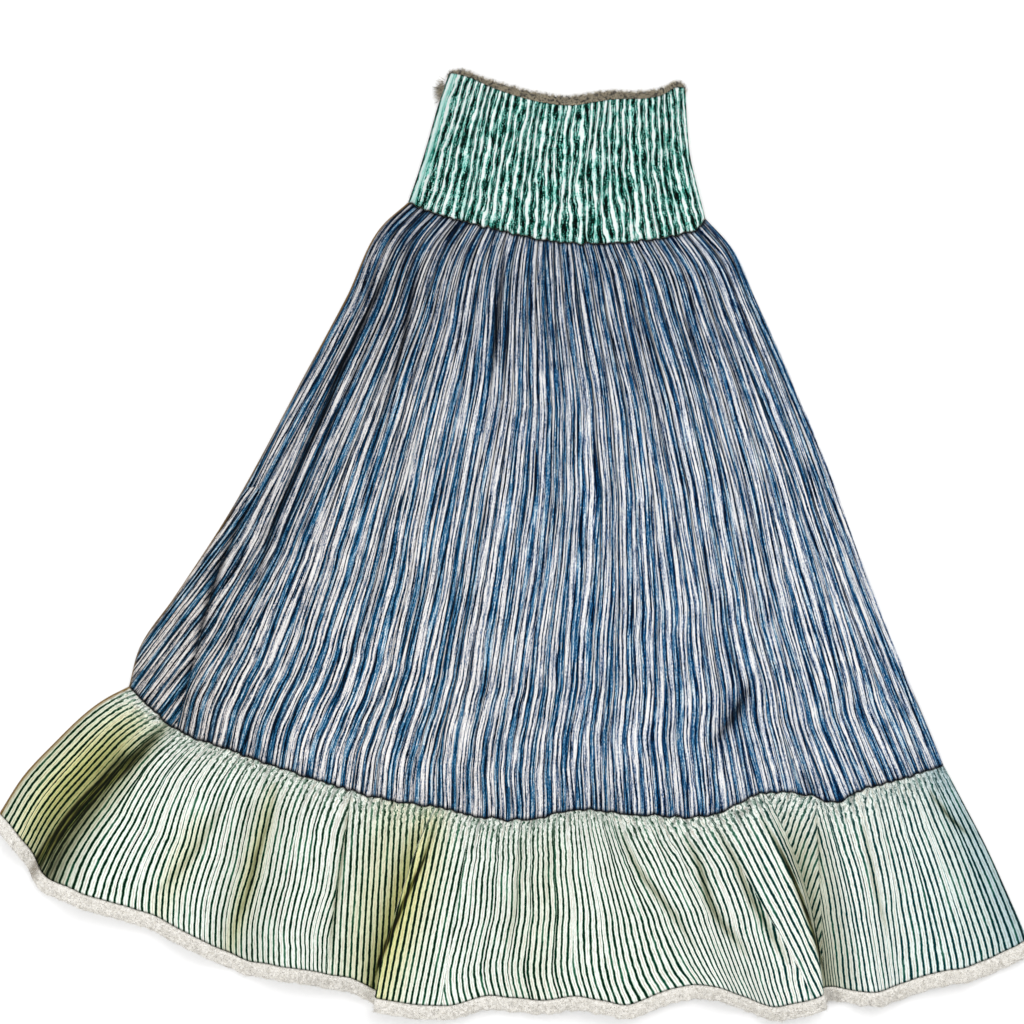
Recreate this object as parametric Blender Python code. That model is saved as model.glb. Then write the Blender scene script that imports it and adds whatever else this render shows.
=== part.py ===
"""Elastic waist skirt, laid flat on its back with its front up.

The skirt is a tube of gathered tiers, and each tier is cut as a front and a back: a shirred waistband,
a striped body, a flounce, and a narrow fuzzy trim on the hem. X runs across the skirt, Y up towards
the waist, and Z up from the surface that the skirt lies on. Sizes are in millimetres until a wall
becomes a mesh.
"""

from collections import namedtuple

import bmesh
import bpy
import numpy as np

METRES_PER_MM = 0.001
SEAM_GAP = 0.3
SIDE_GAP = 0.8

# Sizes of each tier's cloth: its back layer, its front wall and what the gathers add outside
Cloth = namedtuple("Cloth", "back wall relief waves columns_per_wave")
BAND_CLOTH = Cloth(back=3.0, wall=1.5, relief=2.6, waves=36, columns_per_wave=4)
BODY_CLOTH = Cloth(back=2.0, wall=1.4, relief=1.9, waves=64, columns_per_wave=3)
FLOUNCE_CLOTH = Cloth(back=2.0, wall=1.4, relief=2.0, waves=48, columns_per_wave=4)
TRIM_CLOTH = Cloth(back=2.0, wall=3.0, relief=0.0, waves=48, columns_per_wave=4)

TRIM_WIDTH = 15.0
TRIM_SPREAD = 6.0
TRIM_EDGE_WALL = 1.6
BACK_TRIM_SHARE = 0.75

# Shares of the way down a tier where it has a row of points
BAND_ROWS = (0.0, 0.2, 0.4, 0.6, 0.8, 1.0)
BODY_ROWS = (0.0, 0.07, 0.26, 0.48, 0.7, 0.9, 1.0)
FLOUNCE_ROWS = (0.0, 0.1, 0.25, 0.45, 0.7, 1.0)
TRIM_ROWS = (0.0, 1.0)
BACK_COLUMNS = 60

# Lines across the skirt, from its left to its right as it lies
Point = namedtuple("Point", "across up")
BAND_FRONT_EDGE = [
    Point(-66, 494), Point(-54, 492), Point(-14, 476), Point(32, 463), Point(55, 460),
    Point(104, 466), Point(158, 471), Point(174, 479), Point(182, 478),
]
BAND_BACK_EDGE = [
    Point(-66, 494), Point(-54, 496), Point(-32, 488), Point(-5, 480), Point(22, 473), Point(55, 468),
    Point(104, 474), Point(131, 473), Point(158, 477), Point(174, 484), Point(182, 478),
]
WAIST_SEAM = [
    Point(-109, 358), Point(-79, 346), Point(-42, 336), Point(-6, 327), Point(30, 319),
    Point(103, 315), Point(139, 318), Point(174, 324), Point(195, 331), Point(203, 341),
]
FLOUNCE_SEAM = [
    Point(-402, -150), Point(-383, -169), Point(-351, -196), Point(-304, -214), Point(-196, -251),
    Point(-132, -269), Point(-72, -278), Point(-40, -286), Point(35, -287), Point(56, -281),
    Point(134, -285), Point(220, -282), Point(251, -266), Point(274, -261), Point(314, -265),
    Point(338, -272), Point(362, -261), Point(419, -244), Point(453, -233),
]
HEM = [
    Point(-538, -283), Point(-517, -304), Point(-503, -325), Point(-492, -346), Point(-457, -363),
    Point(-385, -386), Point(-327, -414), Point(-280, -436), Point(-223, -445), Point(-159, -460),
    Point(-142, -470), Point(-105, -480), Point(-62, -483), Point(-40, -476), Point(35, -478),
    Point(67, -474), Point(121, -482), Point(177, -464), Point(206, -463), Point(262, -482),
    Point(277, -485), Point(297, -480), Point(326, -466), Point(376, -470), Point(434, -452),
    Point(490, -439), Point(541, -415),
]

# What bends each side edge between the ends of two lines
BAND_LEFT = [Point(-75, 468), Point(-90, 416), Point(-98, 390)]
BAND_RIGHT = [Point(184, 440), Point(187, 407), Point(194, 376)]
BODY_LEFT = [
    Point(-135, 335), Point(-174, 258), Point(-216, 180), Point(-303, 22), Point(-355, -57), Point(-392, -112),
]
BODY_RIGHT = [Point(230, 311), Point(255, 258), Point(290, 180), Point(323, 101), Point(381, -57)]
FLOUNCE_LEFT = [Point(-427, -163), Point(-485, -214), Point(-512, -243)]
FLOUNCE_RIGHT = [Point(471, -267), Point(498, -319), Point(522, -372)]

# Large folds: where each crest or hollow starts and ends across the skirt, and how high it stands
Fold = namedtuple("Fold", "above below lift")
BODY_FOLDS = [
    Fold(-109, -402, 0), Fold(-98, -385, 5), Fold(-84, -352, 1), Fold(-62, -290, 5), Fold(-35, -205, 2),
    Fold(0, -90, 5), Fold(38, 15, 2.5), Fold(82, 130, 5), Fold(120, 235, 2), Fold(160, 340, 5),
    Fold(188, 410, 3), Fold(203, 453, 0),
]
FLOUNCE_FOLDS = [
    Fold(-402, -538, 0), Fold(-390, -519, 13), Fold(-370, -500, 2), Fold(-362, -492, 1),
    Fold(-340, -440, 15), Fold(-303, -366, 6), Fold(-276, -330, 13), Fold(-244, -287, 1),
    Fold(-190, -222, 16), Fold(-110, -170, 8), Fold(-86, -153, 1), Fold(-77, -141, 19),
    Fold(-40, -75, 13), Fold(8, 2, 4), Fold(62, 85, 13), Fold(105, 190, 6), Fold(130, 218, 11),
    Fold(165, 250, 3), Fold(210, 290, 13), Fold(255, 322, 17), Fold(266, 333, 1), Fold(306, 347, 1),
    Fold(334, 383, 12), Fold(374, 408, 5), Fold(402, 458, 11), Fold(434, 508, 3), Fold(446, 528, 7),
    Fold(453, 541, 0),
]

# Colour (linear red, green and blue) and roughness of each cloth
Finish = namedtuple("Finish", "name colour roughness")
SHIRRED_GREEN = Finish("shirred_green", (0.11, 0.31, 0.26), 0.85)
FUZZY_LINING = Finish("fuzzy_lining", (0.30, 0.28, 0.24), 0.95)
STRIPED_BLUE = Finish("striped_blue", (0.22, 0.28, 0.38), 0.85)
PINSTRIPED_MINT = Finish("pinstriped_mint", (0.50, 0.60, 0.48), 0.85)
PALE_PILE = Finish("pale_pile", (0.62, 0.60, 0.56), 0.95)

SAMPLES_PER_SPAN = 24
SHARP_ANGLE = np.radians(50)


def blend(first, second, share):
    """Go from one value to another by a share from 0 to 1."""
    return first + (second - first) * share


def line_through(points):
    """Return a function that gives the points of a smooth line at shares of its length."""
    knots = np.array(points, dtype=float)
    spans = np.hypot(*np.diff(knots, axis=0).T)[:, None]
    slopes = np.diff(knots, axis=0) / spans
    middle = (slopes[1:] * spans[:-1] + slopes[:-1] * spans[1:]) / (spans[:-1] + spans[1:])
    slopes = np.vstack([slopes[:1], middle, slopes[-1:]])
    step = np.linspace(0, 1, SAMPLES_PER_SPAN, endpoint=False)[:, None]
    rise = step * step * (3 - 2 * step)
    leave = step * (1 - step) ** 2
    arrive = step * step * (step - 1)
    pieces = [
        blend(knots[k], knots[k + 1], rise) + spans[k] * (leave * slopes[k] + arrive * slopes[k + 1])
        for k in range(len(knots) - 1)
    ]
    dense = np.vstack(pieces + [knots[-1:]])
    run = np.concatenate([[0.0], np.cumsum(np.hypot(*np.diff(dense, axis=0).T))])
    shares = run / run[-1]

    def at(share):
        return np.stack([np.interp(share, shares, dense[:, axis]) for axis in (0, 1)], axis=-1)

    return at


class Tier:
    """The plan of one tier between its top line, bottom line and two side edges."""

    def __init__(self, top, bottom, left, right):
        self.top = top
        self.bottom = bottom
        self.left = line_through([top(0.0), *left, bottom(0.0)])
        self.right = line_through([top(1.0), *right, bottom(1.0)])

    def plan(self, across, down):
        """Give the place on the table of points at shares across and down the tier."""
        share_across = across[..., None]
        share_down = down[..., None]
        lines = blend(self.top(across), self.bottom(across), share_down)
        sides = blend(self.left(down), self.right(down), share_across)
        top_chord = blend(self.top(0.0), self.top(1.0), share_across)
        bottom_chord = blend(self.bottom(0.0), self.bottom(1.0), share_across)
        return lines + sides - blend(top_chord, bottom_chord, share_down)

    def inset_plan(self, across, down, side_inset):
        """Give the plan drawn in at its sides, and at its seams by half the seam gap."""
        width = np.hypot(*np.moveaxis(self.right(down) - self.left(down), -1, 0))
        depth = np.hypot(*np.moveaxis(self.bottom(across) - self.top(across), -1, 0))
        side = side_inset / width
        end = 0.5 * SEAM_GAP / depth
        return self.plan(blend(side, 1 - side, across), blend(end, 1 - end, down))


def share_of(line, across):
    """Find the share of a line's length at which it reaches a place across the skirt."""
    shares = np.linspace(0, 1, 2001)
    return np.interp(across, line(shares)[:, 0], shares)


class FoldMap:
    """The large folds of a tier, whose columns of points run along the folds."""

    def __init__(self, folds, top, bottom):
        above = share_of(top, [fold.above for fold in folds])
        below = share_of(bottom, [fold.below for fold in folds])
        self.stations = 0.5 * (above + below)
        self.above = above
        self.below = below
        self.lifts = np.array([fold.lift for fold in folds], dtype=float)

    def across(self, station, down):
        """Give the share across the tier of a fold line's station at a share down it."""
        return blend(
            np.interp(station, self.stations, self.above), np.interp(station, self.stations, self.below), down
        )

    def lift(self, station):
        """Give the full height of the folds at a station, turning softly at crests and hollows."""
        span = np.clip(np.searchsorted(self.stations, station, side="right") - 1, 0, len(self.lifts) - 2)
        start = self.stations[span]
        share = np.clip((station - start) / (self.stations[span + 1] - start), 0, 1)
        return blend(self.lifts[span], self.lifts[span + 1], 0.5 - 0.5 * np.cos(np.pi * share))


def grid_shares(columns, rows):
    """Give matching arrays of shares across and down, one entry for each point of a sheet."""
    across = np.linspace(0, 1, columns + 1)
    return np.meshgrid(across, np.array(rows))


def wave_columns(cloth):
    """Give how many columns a front needs for its gathers."""
    return cloth.waves * cloth.columns_per_wave


def gathers(cloth, across, down, wander):
    """Give a share from 0 to 1 that rises on each gather, whose line wanders on its way down."""
    turns = cloth.waves * across + wander * np.sin(2 * np.pi * (3.3 * across + 0.9 * down))
    uneven = 0.8 + 0.2 * np.sin(2 * np.pi * (11.3 * across + 1.7 * down))
    flat_sides = np.clip(cloth.waves * np.minimum(across, 1 - across), 0, 1)
    return flat_sides * uneven * (0.5 - 0.5 * np.cos(2 * np.pi * turns))


def front_points(plan, base, lift, thickness):
    """Give a front wall's inner and outer points, with a lip down each side to the table.

    The plan is an array of rows and columns of places, and so are the lift and the thickness.
    """
    inner = np.dstack([plan, base + lift])
    inner = np.concatenate([inner[:, :1], inner, inner[:, -1:]], axis=1)
    inner[:, [0, -1], 2] = 0.0
    thickness = np.pad(thickness, ((0, 0), (1, 1)), mode="edge")
    heading = np.gradient(plan, axis=1)
    run = np.hypot(heading[..., 0], heading[..., 1])
    lean = np.arctan2(np.gradient(base + lift, axis=1), run)
    lean[:, 0] = np.pi / 4
    lean[:, -1] = -np.pi / 4
    lean = np.pad(lean, ((0, 0), (1, 1)), constant_values=((0, 0), (np.pi / 2, -np.pi / 2)))
    heading = np.pad(heading / run[..., None], ((0, 0), (1, 1), (0, 0)), mode="edge")
    outward = np.dstack([-np.sin(lean)[..., None] * heading, np.cos(lean)])
    return inner, inner + outward * thickness[..., None]


def back_points(plan, thickness):
    """Give a back layer's lower and upper points, flat on the table."""
    lower = np.dstack([plan, np.zeros(plan.shape[:2])])
    return lower, lower + np.array([0.0, 0.0, thickness])


def make_material(finish):
    """Make the Principled material of a finish, once."""
    material = bpy.data.materials.get(finish.name)
    if material is None:
        material = bpy.data.materials.new(finish.name)
        material.use_nodes = True
        shader = material.node_tree.nodes["Principled BSDF"]
        shader.inputs["Base Color"].default_value = (*finish.colour, 1.0)
        shader.inputs["Roughness"].default_value = finish.roughness
        shader.inputs["Metallic"].default_value = 0.0
        material.diffuse_color = (*finish.colour, 1.0)
    return material


def cloth_wall(name, points, finish):
    """Make one closed cloth wall: a grid laid on the inner points and extruded to the outer ones."""
    inner, outer = points
    rows, columns = inner.shape[:2]
    sheet = bmesh.new()
    bmesh.ops.create_grid(sheet, x_segments=columns - 1, y_segments=rows - 1, size=0.5)
    grown = bmesh.ops.extrude_face_region(sheet, geom=sheet.faces[:], use_keep_orig=True)
    raised = {item for item in grown["geom"] if isinstance(item, bmesh.types.BMVert)}
    for vert in sheet.verts:
        column = round((vert.co.x + 0.5) * (columns - 1))
        row = round((vert.co.y + 0.5) * (rows - 1))
        side = outer if vert in raised else inner
        vert.co = side[row, column] * METRES_PER_MM
    bmesh.ops.recalc_face_normals(sheet, faces=sheet.faces[:])
    mesh = bpy.data.meshes.new(name)
    sheet.to_mesh(mesh)
    sheet.free()
    mesh.shade_smooth()
    mesh.set_sharp_from_angle(angle=SHARP_ANGLE)
    mesh.materials.append(make_material(finish))
    wall = bpy.data.objects.new(name, mesh)
    bpy.context.scene.collection.objects.link(wall)
    return wall


def make_waistband(waist_seam):
    """Make the shirred waistband, whose back stands a little higher than its front."""
    cloth = BAND_CLOTH
    front = Tier(line_through(BAND_FRONT_EDGE), waist_seam, BAND_LEFT, BAND_RIGHT)
    across, down = grid_shares(wave_columns(cloth), BAND_ROWS)
    plan = front.inset_plan(across, down, cloth.wall)
    ribs = gathers(cloth, across, down, wander=0.35)
    base = cloth.back + SEAM_GAP
    points = front_points(plan, base, 0.0 * across, cloth.wall + cloth.relief * ribs)
    back = Tier(line_through(BAND_BACK_EDGE), waist_seam, BAND_LEFT, BAND_RIGHT)
    back_plan = back.inset_plan(*grid_shares(BACK_COLUMNS, BAND_ROWS), cloth.wall + SIDE_GAP)
    return [
        cloth_wall("waistband_front", points, SHIRRED_GREEN),
        cloth_wall("waistband_back", back_points(back_plan, cloth.back), FUZZY_LINING),
    ]


def make_body(waist_seam, flounce_seam):
    """Make the gathered body, whose front has soft folds from the waist to the flounce."""
    cloth = BODY_CLOTH
    tier = Tier(waist_seam, flounce_seam, BODY_LEFT, BODY_RIGHT)
    folds = FoldMap(BODY_FOLDS, waist_seam, flounce_seam)
    station, down = grid_shares(wave_columns(cloth), BODY_ROWS)
    across = folds.across(station, down)
    lift = folds.lift(station) * np.sqrt(np.sin(np.pi * down).clip(0))
    ripples = gathers(cloth, station, down, wander=0.6) * blend(1.0, 0.55, down)
    plan = tier.inset_plan(across, down, cloth.wall)
    base = cloth.back + SEAM_GAP
    points = front_points(plan, base, lift, cloth.wall + cloth.relief * ripples)
    back_plan = tier.inset_plan(*grid_shares(BACK_COLUMNS, BODY_ROWS), cloth.wall + SIDE_GAP)
    return [
        cloth_wall("body_front", points, STRIPED_BLUE),
        cloth_wall("body_back", back_points(back_plan, cloth.back), STRIPED_BLUE),
    ]


def make_flounce(flounce_seam, hem):
    """Make the flounce, puckered under its seam and standing in large folds at its hem."""
    cloth = FLOUNCE_CLOTH
    tier = Tier(flounce_seam, hem, FLOUNCE_LEFT, FLOUNCE_RIGHT)
    folds = FoldMap(FLOUNCE_FOLDS, flounce_seam, hem)
    station, down = grid_shares(wave_columns(cloth), FLOUNCE_ROWS)
    across = folds.across(station, down)
    lift = folds.lift(station) * np.sin(0.5 * np.pi * down)
    puckers = gathers(cloth, station, down, wander=0.3) * (1 - down) ** 3
    plan = tier.inset_plan(across, down, cloth.wall)
    base = cloth.back + SEAM_GAP
    points = front_points(plan, base, lift, cloth.wall + cloth.relief * puckers)
    back_plan = tier.inset_plan(*grid_shares(BACK_COLUMNS, FLOUNCE_ROWS), cloth.wall + SIDE_GAP)
    return [
        cloth_wall("flounce_front", points, PINSTRIPED_MINT),
        cloth_wall("flounce_back", back_points(back_plan, cloth.back), PINSTRIPED_MINT),
    ]


def lowered_line(line, drop, spread):
    """Give a line moved down the skirt, and out to the sides towards its two ends."""

    def at(share):
        apart = spread * (2 * np.asarray(share, dtype=float) - 1)
        return line(share) + np.stack([apart, np.full_like(apart, -drop)], axis=-1)

    return at


def make_hem_trim(flounce_seam, hem):
    """Make the fuzzy trim, which goes up and down with the folds of the flounce's hem."""
    cloth = TRIM_CLOTH
    folds = FoldMap(FLOUNCE_FOLDS, flounce_seam, hem)
    station, down = grid_shares(wave_columns(cloth), TRIM_ROWS)
    across = folds.across(station, 1.0)
    tier = Tier(hem, lowered_line(hem, TRIM_WIDTH, TRIM_SPREAD), [], [])
    plan = tier.inset_plan(across, down, FLOUNCE_CLOTH.wall)
    base = cloth.back + SEAM_GAP
    points = front_points(plan, base, folds.lift(station), blend(cloth.wall, TRIM_EDGE_WALL, down**2))
    across, down = grid_shares(BACK_COLUMNS, TRIM_ROWS)
    back_plan = tier.inset_plan(across, down * BACK_TRIM_SHARE, FLOUNCE_CLOTH.wall + SIDE_GAP)
    return [
        cloth_wall("hem_trim_front", points, PALE_PILE),
        cloth_wall("hem_trim_back", back_points(back_plan, cloth.back), PALE_PILE),
    ]


def centre_on_table(walls):
    """Move the meshes so that the middle of the skirt's box lies over the origin."""
    corners = np.array([vert.co[:] for wall in walls for vert in wall.data.vertices])
    middle = 0.5 * (corners.min(axis=0) + corners.max(axis=0))
    for wall in walls:
        for vert in wall.data.vertices:
            vert.co.x -= middle[0]
            vert.co.y -= middle[1]


def main():
    """Build the skirt in an empty scene."""
    for leftover in list(bpy.data.objects):
        bpy.data.objects.remove(leftover)
    waist_seam = line_through(WAIST_SEAM)
    flounce_seam = line_through(FLOUNCE_SEAM)
    hem = line_through(HEM)
    walls = [
        *make_waistband(waist_seam),
        *make_body(waist_seam, flounce_seam),
        *make_flounce(flounce_seam, hem),
        *make_hem_trim(flounce_seam, hem),
    ]
    centre_on_table(walls)


main()
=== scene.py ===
"""The looks of an elastic waist skirt that lies flat on its back, seen from straight above.

Every tier of cloth is a thin shell on the form of its solid, with its ribs, gathers, folds and creases, and
the hem trim and the lining's top edge carry a short pile. Plans, folds and creases are in millimetres, X across
the skirt and Y up towards the waist, and become metres when a mesh takes its points.
"""

from __future__ import annotations

import logging
from collections.abc import Callable, Sequence
from dataclasses import dataclass, field
from enum import Enum
from typing import NamedTuple

import bpy
import numpy as np
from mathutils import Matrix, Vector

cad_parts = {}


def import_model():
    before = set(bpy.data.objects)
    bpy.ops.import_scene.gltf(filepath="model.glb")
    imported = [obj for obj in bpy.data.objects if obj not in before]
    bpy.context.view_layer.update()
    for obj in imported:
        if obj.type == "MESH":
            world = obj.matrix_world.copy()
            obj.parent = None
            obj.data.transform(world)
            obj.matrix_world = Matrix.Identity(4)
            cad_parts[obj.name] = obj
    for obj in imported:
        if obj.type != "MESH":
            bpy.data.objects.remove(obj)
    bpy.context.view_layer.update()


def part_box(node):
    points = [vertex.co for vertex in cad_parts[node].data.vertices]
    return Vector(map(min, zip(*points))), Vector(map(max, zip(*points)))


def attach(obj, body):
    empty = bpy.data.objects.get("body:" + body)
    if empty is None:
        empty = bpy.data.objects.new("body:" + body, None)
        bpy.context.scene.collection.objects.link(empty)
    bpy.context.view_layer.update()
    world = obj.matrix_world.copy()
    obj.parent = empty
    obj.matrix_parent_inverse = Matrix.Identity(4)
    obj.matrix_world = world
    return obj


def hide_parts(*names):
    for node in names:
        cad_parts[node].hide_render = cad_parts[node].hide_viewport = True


Array = np.ndarray
Line = Callable[[Array], Array]
Colour = tuple[float, float, float]

log = logging.getLogger("skirt")

METRES_PER_MM = 0.001
BODY_NAME = "root"

# Gaps between the tiers, and how far a tier's sides curve down to the table
SEAM_GAP = 0.3
SIDE_GAP = 0.8
SIDE_ROLL = 4.5
EDGE_HEIGHT = 1.0
SHELL = 0.9

TRIM_WIDTH = 15.0
TRIM_SPREAD = 6.0
BACK_TRIM_SHARE = 0.75


class Hold(Enum):
    """How a sheet of cloth is held."""

    GATHERED = "gathered"
    LAID = "laid"


class Point(NamedTuple):
    """A place on the table, in millimetres."""

    across: float
    up: float


class Fold(NamedTuple):
    """A crest or hollow of a tier, from where it starts above to where it ends below.

    The lift is its height, the lean how far it tips sideways, the shade how dark it lies, and the bow how far it
    curves sideways on its way.
    """

    above: float
    below: float
    lift: float
    lean: float = 0.0
    shade: float = 0.0
    bow: float = 0.0


class Crease(NamedTuple):
    """A soft trough along a few points, or a ridge where its depth is below zero, painted as dark as its shade."""

    width: float
    depth: float
    shade: float
    path: tuple[Point, ...]


class Grain(NamedTuple):
    """A part of a tier between two folds that cut its stripes off.

    It lies between two places along the tier's top and two lines down it, each given by its place at the top and
    how far it runs sideways for each unit down. Its stripes run sideways by the turn for each unit down.
    """

    first: float
    last: float
    turn: float
    left: tuple[float, float]
    right: tuple[float, float]


BAND_FRONT_EDGE = [
    Point(-66, 494), Point(-54, 492), Point(-14, 476), Point(32, 463), Point(55, 460),
    Point(104, 466), Point(158, 471), Point(174, 479), Point(182, 478),
]
BAND_BACK_EDGE = [
    Point(-66, 494), Point(-54, 496), Point(-32, 488), Point(-5, 480), Point(22, 473), Point(55, 468),
    Point(104, 474), Point(131, 473), Point(158, 477), Point(174, 484), Point(182, 478),
]
WAIST_SEAM = [
    Point(-109, 358), Point(-79, 346), Point(-42, 336), Point(-6, 327), Point(30, 319),
    Point(103, 315), Point(139, 318), Point(174, 324), Point(195, 331), Point(203, 341),
]
FLOUNCE_SEAM = [
    Point(-402, -150), Point(-383, -169), Point(-351, -196), Point(-304, -214), Point(-196, -251),
    Point(-132, -269), Point(-72, -278), Point(-40, -286), Point(35, -287), Point(56, -281),
    Point(134, -285), Point(220, -282), Point(251, -266), Point(274, -261), Point(314, -265),
    Point(338, -272), Point(362, -261), Point(419, -244), Point(453, -233),
]
HEM = [
    Point(-538, -283), Point(-517, -304), Point(-503, -325), Point(-492, -346), Point(-457, -363),
    Point(-385, -386), Point(-327, -414), Point(-280, -436), Point(-223, -445), Point(-159, -460),
    Point(-142, -470), Point(-105, -480), Point(-62, -483), Point(-40, -476), Point(35, -478),
    Point(67, -474), Point(121, -482), Point(177, -464), Point(206, -463), Point(262, -482),
    Point(277, -485), Point(297, -480), Point(326, -466), Point(376, -470), Point(434, -452),
    Point(490, -439), Point(541, -415),
]

BAND_LEFT = [Point(-75, 468), Point(-90, 416), Point(-98, 390)]
BAND_RIGHT = [Point(184, 440), Point(187, 407), Point(194, 376)]
BODY_LEFT = [
    Point(-135, 335), Point(-174, 258), Point(-216, 180), Point(-303, 22), Point(-355, -57), Point(-392, -112),
]
BODY_RIGHT = [Point(230, 311), Point(255, 258), Point(290, 180), Point(323, 101), Point(381, -57)]
FLOUNCE_LEFT = [Point(-427, -163), Point(-485, -214), Point(-512, -243)]
FLOUNCE_RIGHT = [Point(471, -267), Point(498, -319), Point(522, -372)]

BODY_FOLDS = [
    Fold(-109, -402, 0, shade=0.35), Fold(-98, -385, 5, shade=0.25), Fold(-84, -352, 1, shade=0.25),
    Fold(-62, -290, 5, shade=0.1), Fold(-35, -205, 2, shade=0.05), Fold(0, -90, 5), Fold(38, 15, 2.5),
    Fold(82, 130, 5), Fold(120, 235, 2), Fold(160, 340, 5), Fold(188, 410, 3, shade=0.04),
    Fold(203, 453, 0, shade=0.15),
]
FLOUNCE_FOLDS = [
    Fold(-402, -538, 0, shade=0.35), Fold(-390, -519, 13, shade=0.15), Fold(-370, -500, 2, shade=0.5),
    Fold(-362, -492, 1, shade=0.7), Fold(-340, -440, 15), Fold(-303, -366, 6), Fold(-276, -330, 13),
    Fold(-244, -287, 1, shade=0.25), Fold(-190, -222, 16), Fold(-110, -166, 8, shade=0.12),
    Fold(-86, -146, 1, 2, shade=0.42), Fold(-77, -129, 19, -12), Fold(-40, -70, 13), Fold(8, 2, 4, shade=0.05),
    Fold(62, 85, 13), Fold(105, 190, 6, shade=0.05), Fold(130, 218, 11), Fold(165, 250, 3, shade=0.05),
    Fold(210, 284, 13, bow=5), Fold(255, 312, 17, 12, bow=12), Fold(266, 328, 1, shade=0.5, bow=12),
    Fold(306, 343, 1, shade=0.35, bow=3), Fold(334, 379, 12), Fold(374, 408, 5, shade=0.05), Fold(402, 458, 11),
    Fold(434, 508, 3, shade=0.1), Fold(446, 528, 7, shade=0.1), Fold(453, 541, 0, shade=0.2),
]

# Creases pressed into the body, with painted shade along them
BODY_CREASES = [
    Crease(4.5, 2.5, 1.0, (Point(-118, 316), Point(-153, 237), Point(-170, 204), Point(-193, 147),
                           Point(-218, 93), Point(-237, 50), Point(-254, 9), Point(-268, -47), Point(-277, -90))),
    Crease(4, 0.6, 0.25, (Point(-10, 188), Point(90, 184), Point(205, 178))),
    Crease(6, 2.5, 0.85, (Point(-255, 75), Point(-291, 9), Point(-304, -20), Point(-317, -57),
                          Point(-334, -124), Point(-351, -190))),
    Crease(4, 1.5, 0.8, (Point(-98, 300), Point(-122, 180), Point(-144, 113), Point(-158, 80))),
    Crease(4, 1.5, 0.7, (Point(-132, 20), Point(-144, -47), Point(-167, -110), Point(-178, -150))),
    Crease(9, 3.0, 0.95, (Point(256, -134), Point(232, -182), Point(204, -218))),
    Crease(6, -2.5, 0.0, (Point(262, -146), Point(244, -188), Point(222, -216))),
    Crease(5, 1.5, 0.5, (Point(297, -235), Point(321, -267))),
    Crease(4.5, 1.5, 0.8, (Point(-7, 321), Point(-14, 240), Point(-23, 153))),
    Crease(6, 1.5, 0.35, (Point(118, 285), Point(150, 180), Point(165, 60))),
    Crease(6, 1.5, 0.3, (Point(190, 300), Point(232, 190), Point(262, 80))),
    Crease(6, 1.4, 0.3, (Point(-60, 300), Point(-110, 150), Point(-138, 0), Point(-160, -120))),
]
# Creases pressed into the flounce, with painted shade along them, and painted shadow lines along the knife edges
# where their depth is 0
FLOUNCE_CREASES = [
    Crease(11, 4.0, 1.0, (Point(-350, -176), Point(-397, -226), Point(-441, -264), Point(-471, -299),
                          Point(-495, -332), Point(-540, -405))),
    Crease(3, 0.0, 1.0, (Point(-78, -284), Point(-93, -332), Point(-110, -368), Point(-125, -404),
                         Point(-140, -440), Point(-156, -500))),
    Crease(3, 0.0, 0.9, (Point(258, -282), Point(281, -321), Point(300, -364), Point(315, -407),
                         Point(325, -440), Point(331, -480))),
    Crease(5, 2.0, 0.45, (Point(-297, -260), Point(-316, -295), Point(-328, -315), Point(-371, -366))),
    Crease(6, 3.0, 0.6, (Point(-246, -248), Point(-256, -291), Point(-269, -331), Point(-278, -368),
                         Point(-289, -397), Point(-298, -430))),
    Crease(5, 1.5, 0.35, (Point(12, -300), Point(8, -330), Point(6, -363), Point(-6, -430))),
    Crease(4, 1.0, 0.25, (Point(40, -304), Point(38, -340), Point(36, -380))),
    Crease(4.5, 2.0, 0.55, (Point(112, -298), Point(135, -346), Point(165, -383), Point(193, -424))),
    Crease(5.5, 2.5, 0.65, (Point(180, -304), Point(194, -331), Point(210, -382), Point(248, -432))),
    Crease(5.5, 2.5, 0.6, (Point(214, -298), Point(233, -331), Point(248, -366), Point(262, -392),
                           Point(290, -440))),
    Crease(3.5, 1.0, 0.5, (Point(367, -290), Point(374, -325), Point(380, -356), Point(394, -412))),
    Crease(3, 1.0, 0.7, (Point(436, -258), Point(444, -268), Point(458, -286), Point(484, -310))),
    Crease(5, 1.0, 0.5, (Point(318, -280), Point(321, -310), Point(323, -345), Point(326, -380))),
    Crease(4, 1.0, 0.55, (Point(-170, -262), Point(-177, -320), Point(-186, -390), Point(-191, -440))),
]

# Patches where light comes through the cloth and turns it yellow
FLOUNCE_WARMTH = [
    Crease(34, 0.0, 1.0, (Point(-385, -175), Point(-425, -215), Point(-470, -262), Point(-520, -330))),
    Crease(10, 0.0, 0.6, (Point(-250, -250), Point(-270, -330), Point(-300, -440))),
    Crease(34, 0.0, 0.5, (Point(-112, -250), Point(-128, -320), Point(-146, -400), Point(-165, -520))),
    Crease(16, 0.0, 0.4, (Point(-320, -280), Point(-350, -340), Point(-375, -400))),
    Crease(16, 0.0, 0.12, (Point(292, -280), Point(305, -340), Point(330, -440), Point(345, -510))),
    Crease(26, 0.0, 0.15, (Point(40, -300), Point(30, -400), Point(20, -500))),
]

# The same beside the knife edge, on the part that it cuts off
EDGE_WARMTH = Crease(28, 0.0, 1.0, (Point(-80, -270), Point(-112, -370), Point(-140, -460), Point(-150, -520)))

FLOUNCE_GRAIN = [
    Grain(-190, -81, -0.06, (-168.0, -0.14), (1000.0, 0.0)),
    Grain(-80, 0, -0.2, (-1000.0, 0.0), (-42.0, -0.16)),
    Grain(190, 259, 0.45, (207.0, 0.5), (1000.0, 0.0)),
    Grain(267, 350, -0.33, (-1000.0, 0.0), (319.0, 0.04)),
]


def blend(first: Array | float, second: Array | float, share: Array | float) -> Array | float:
    """Go from one value to another by a share from 0 to 1."""
    return first + (second - first) * share


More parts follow.
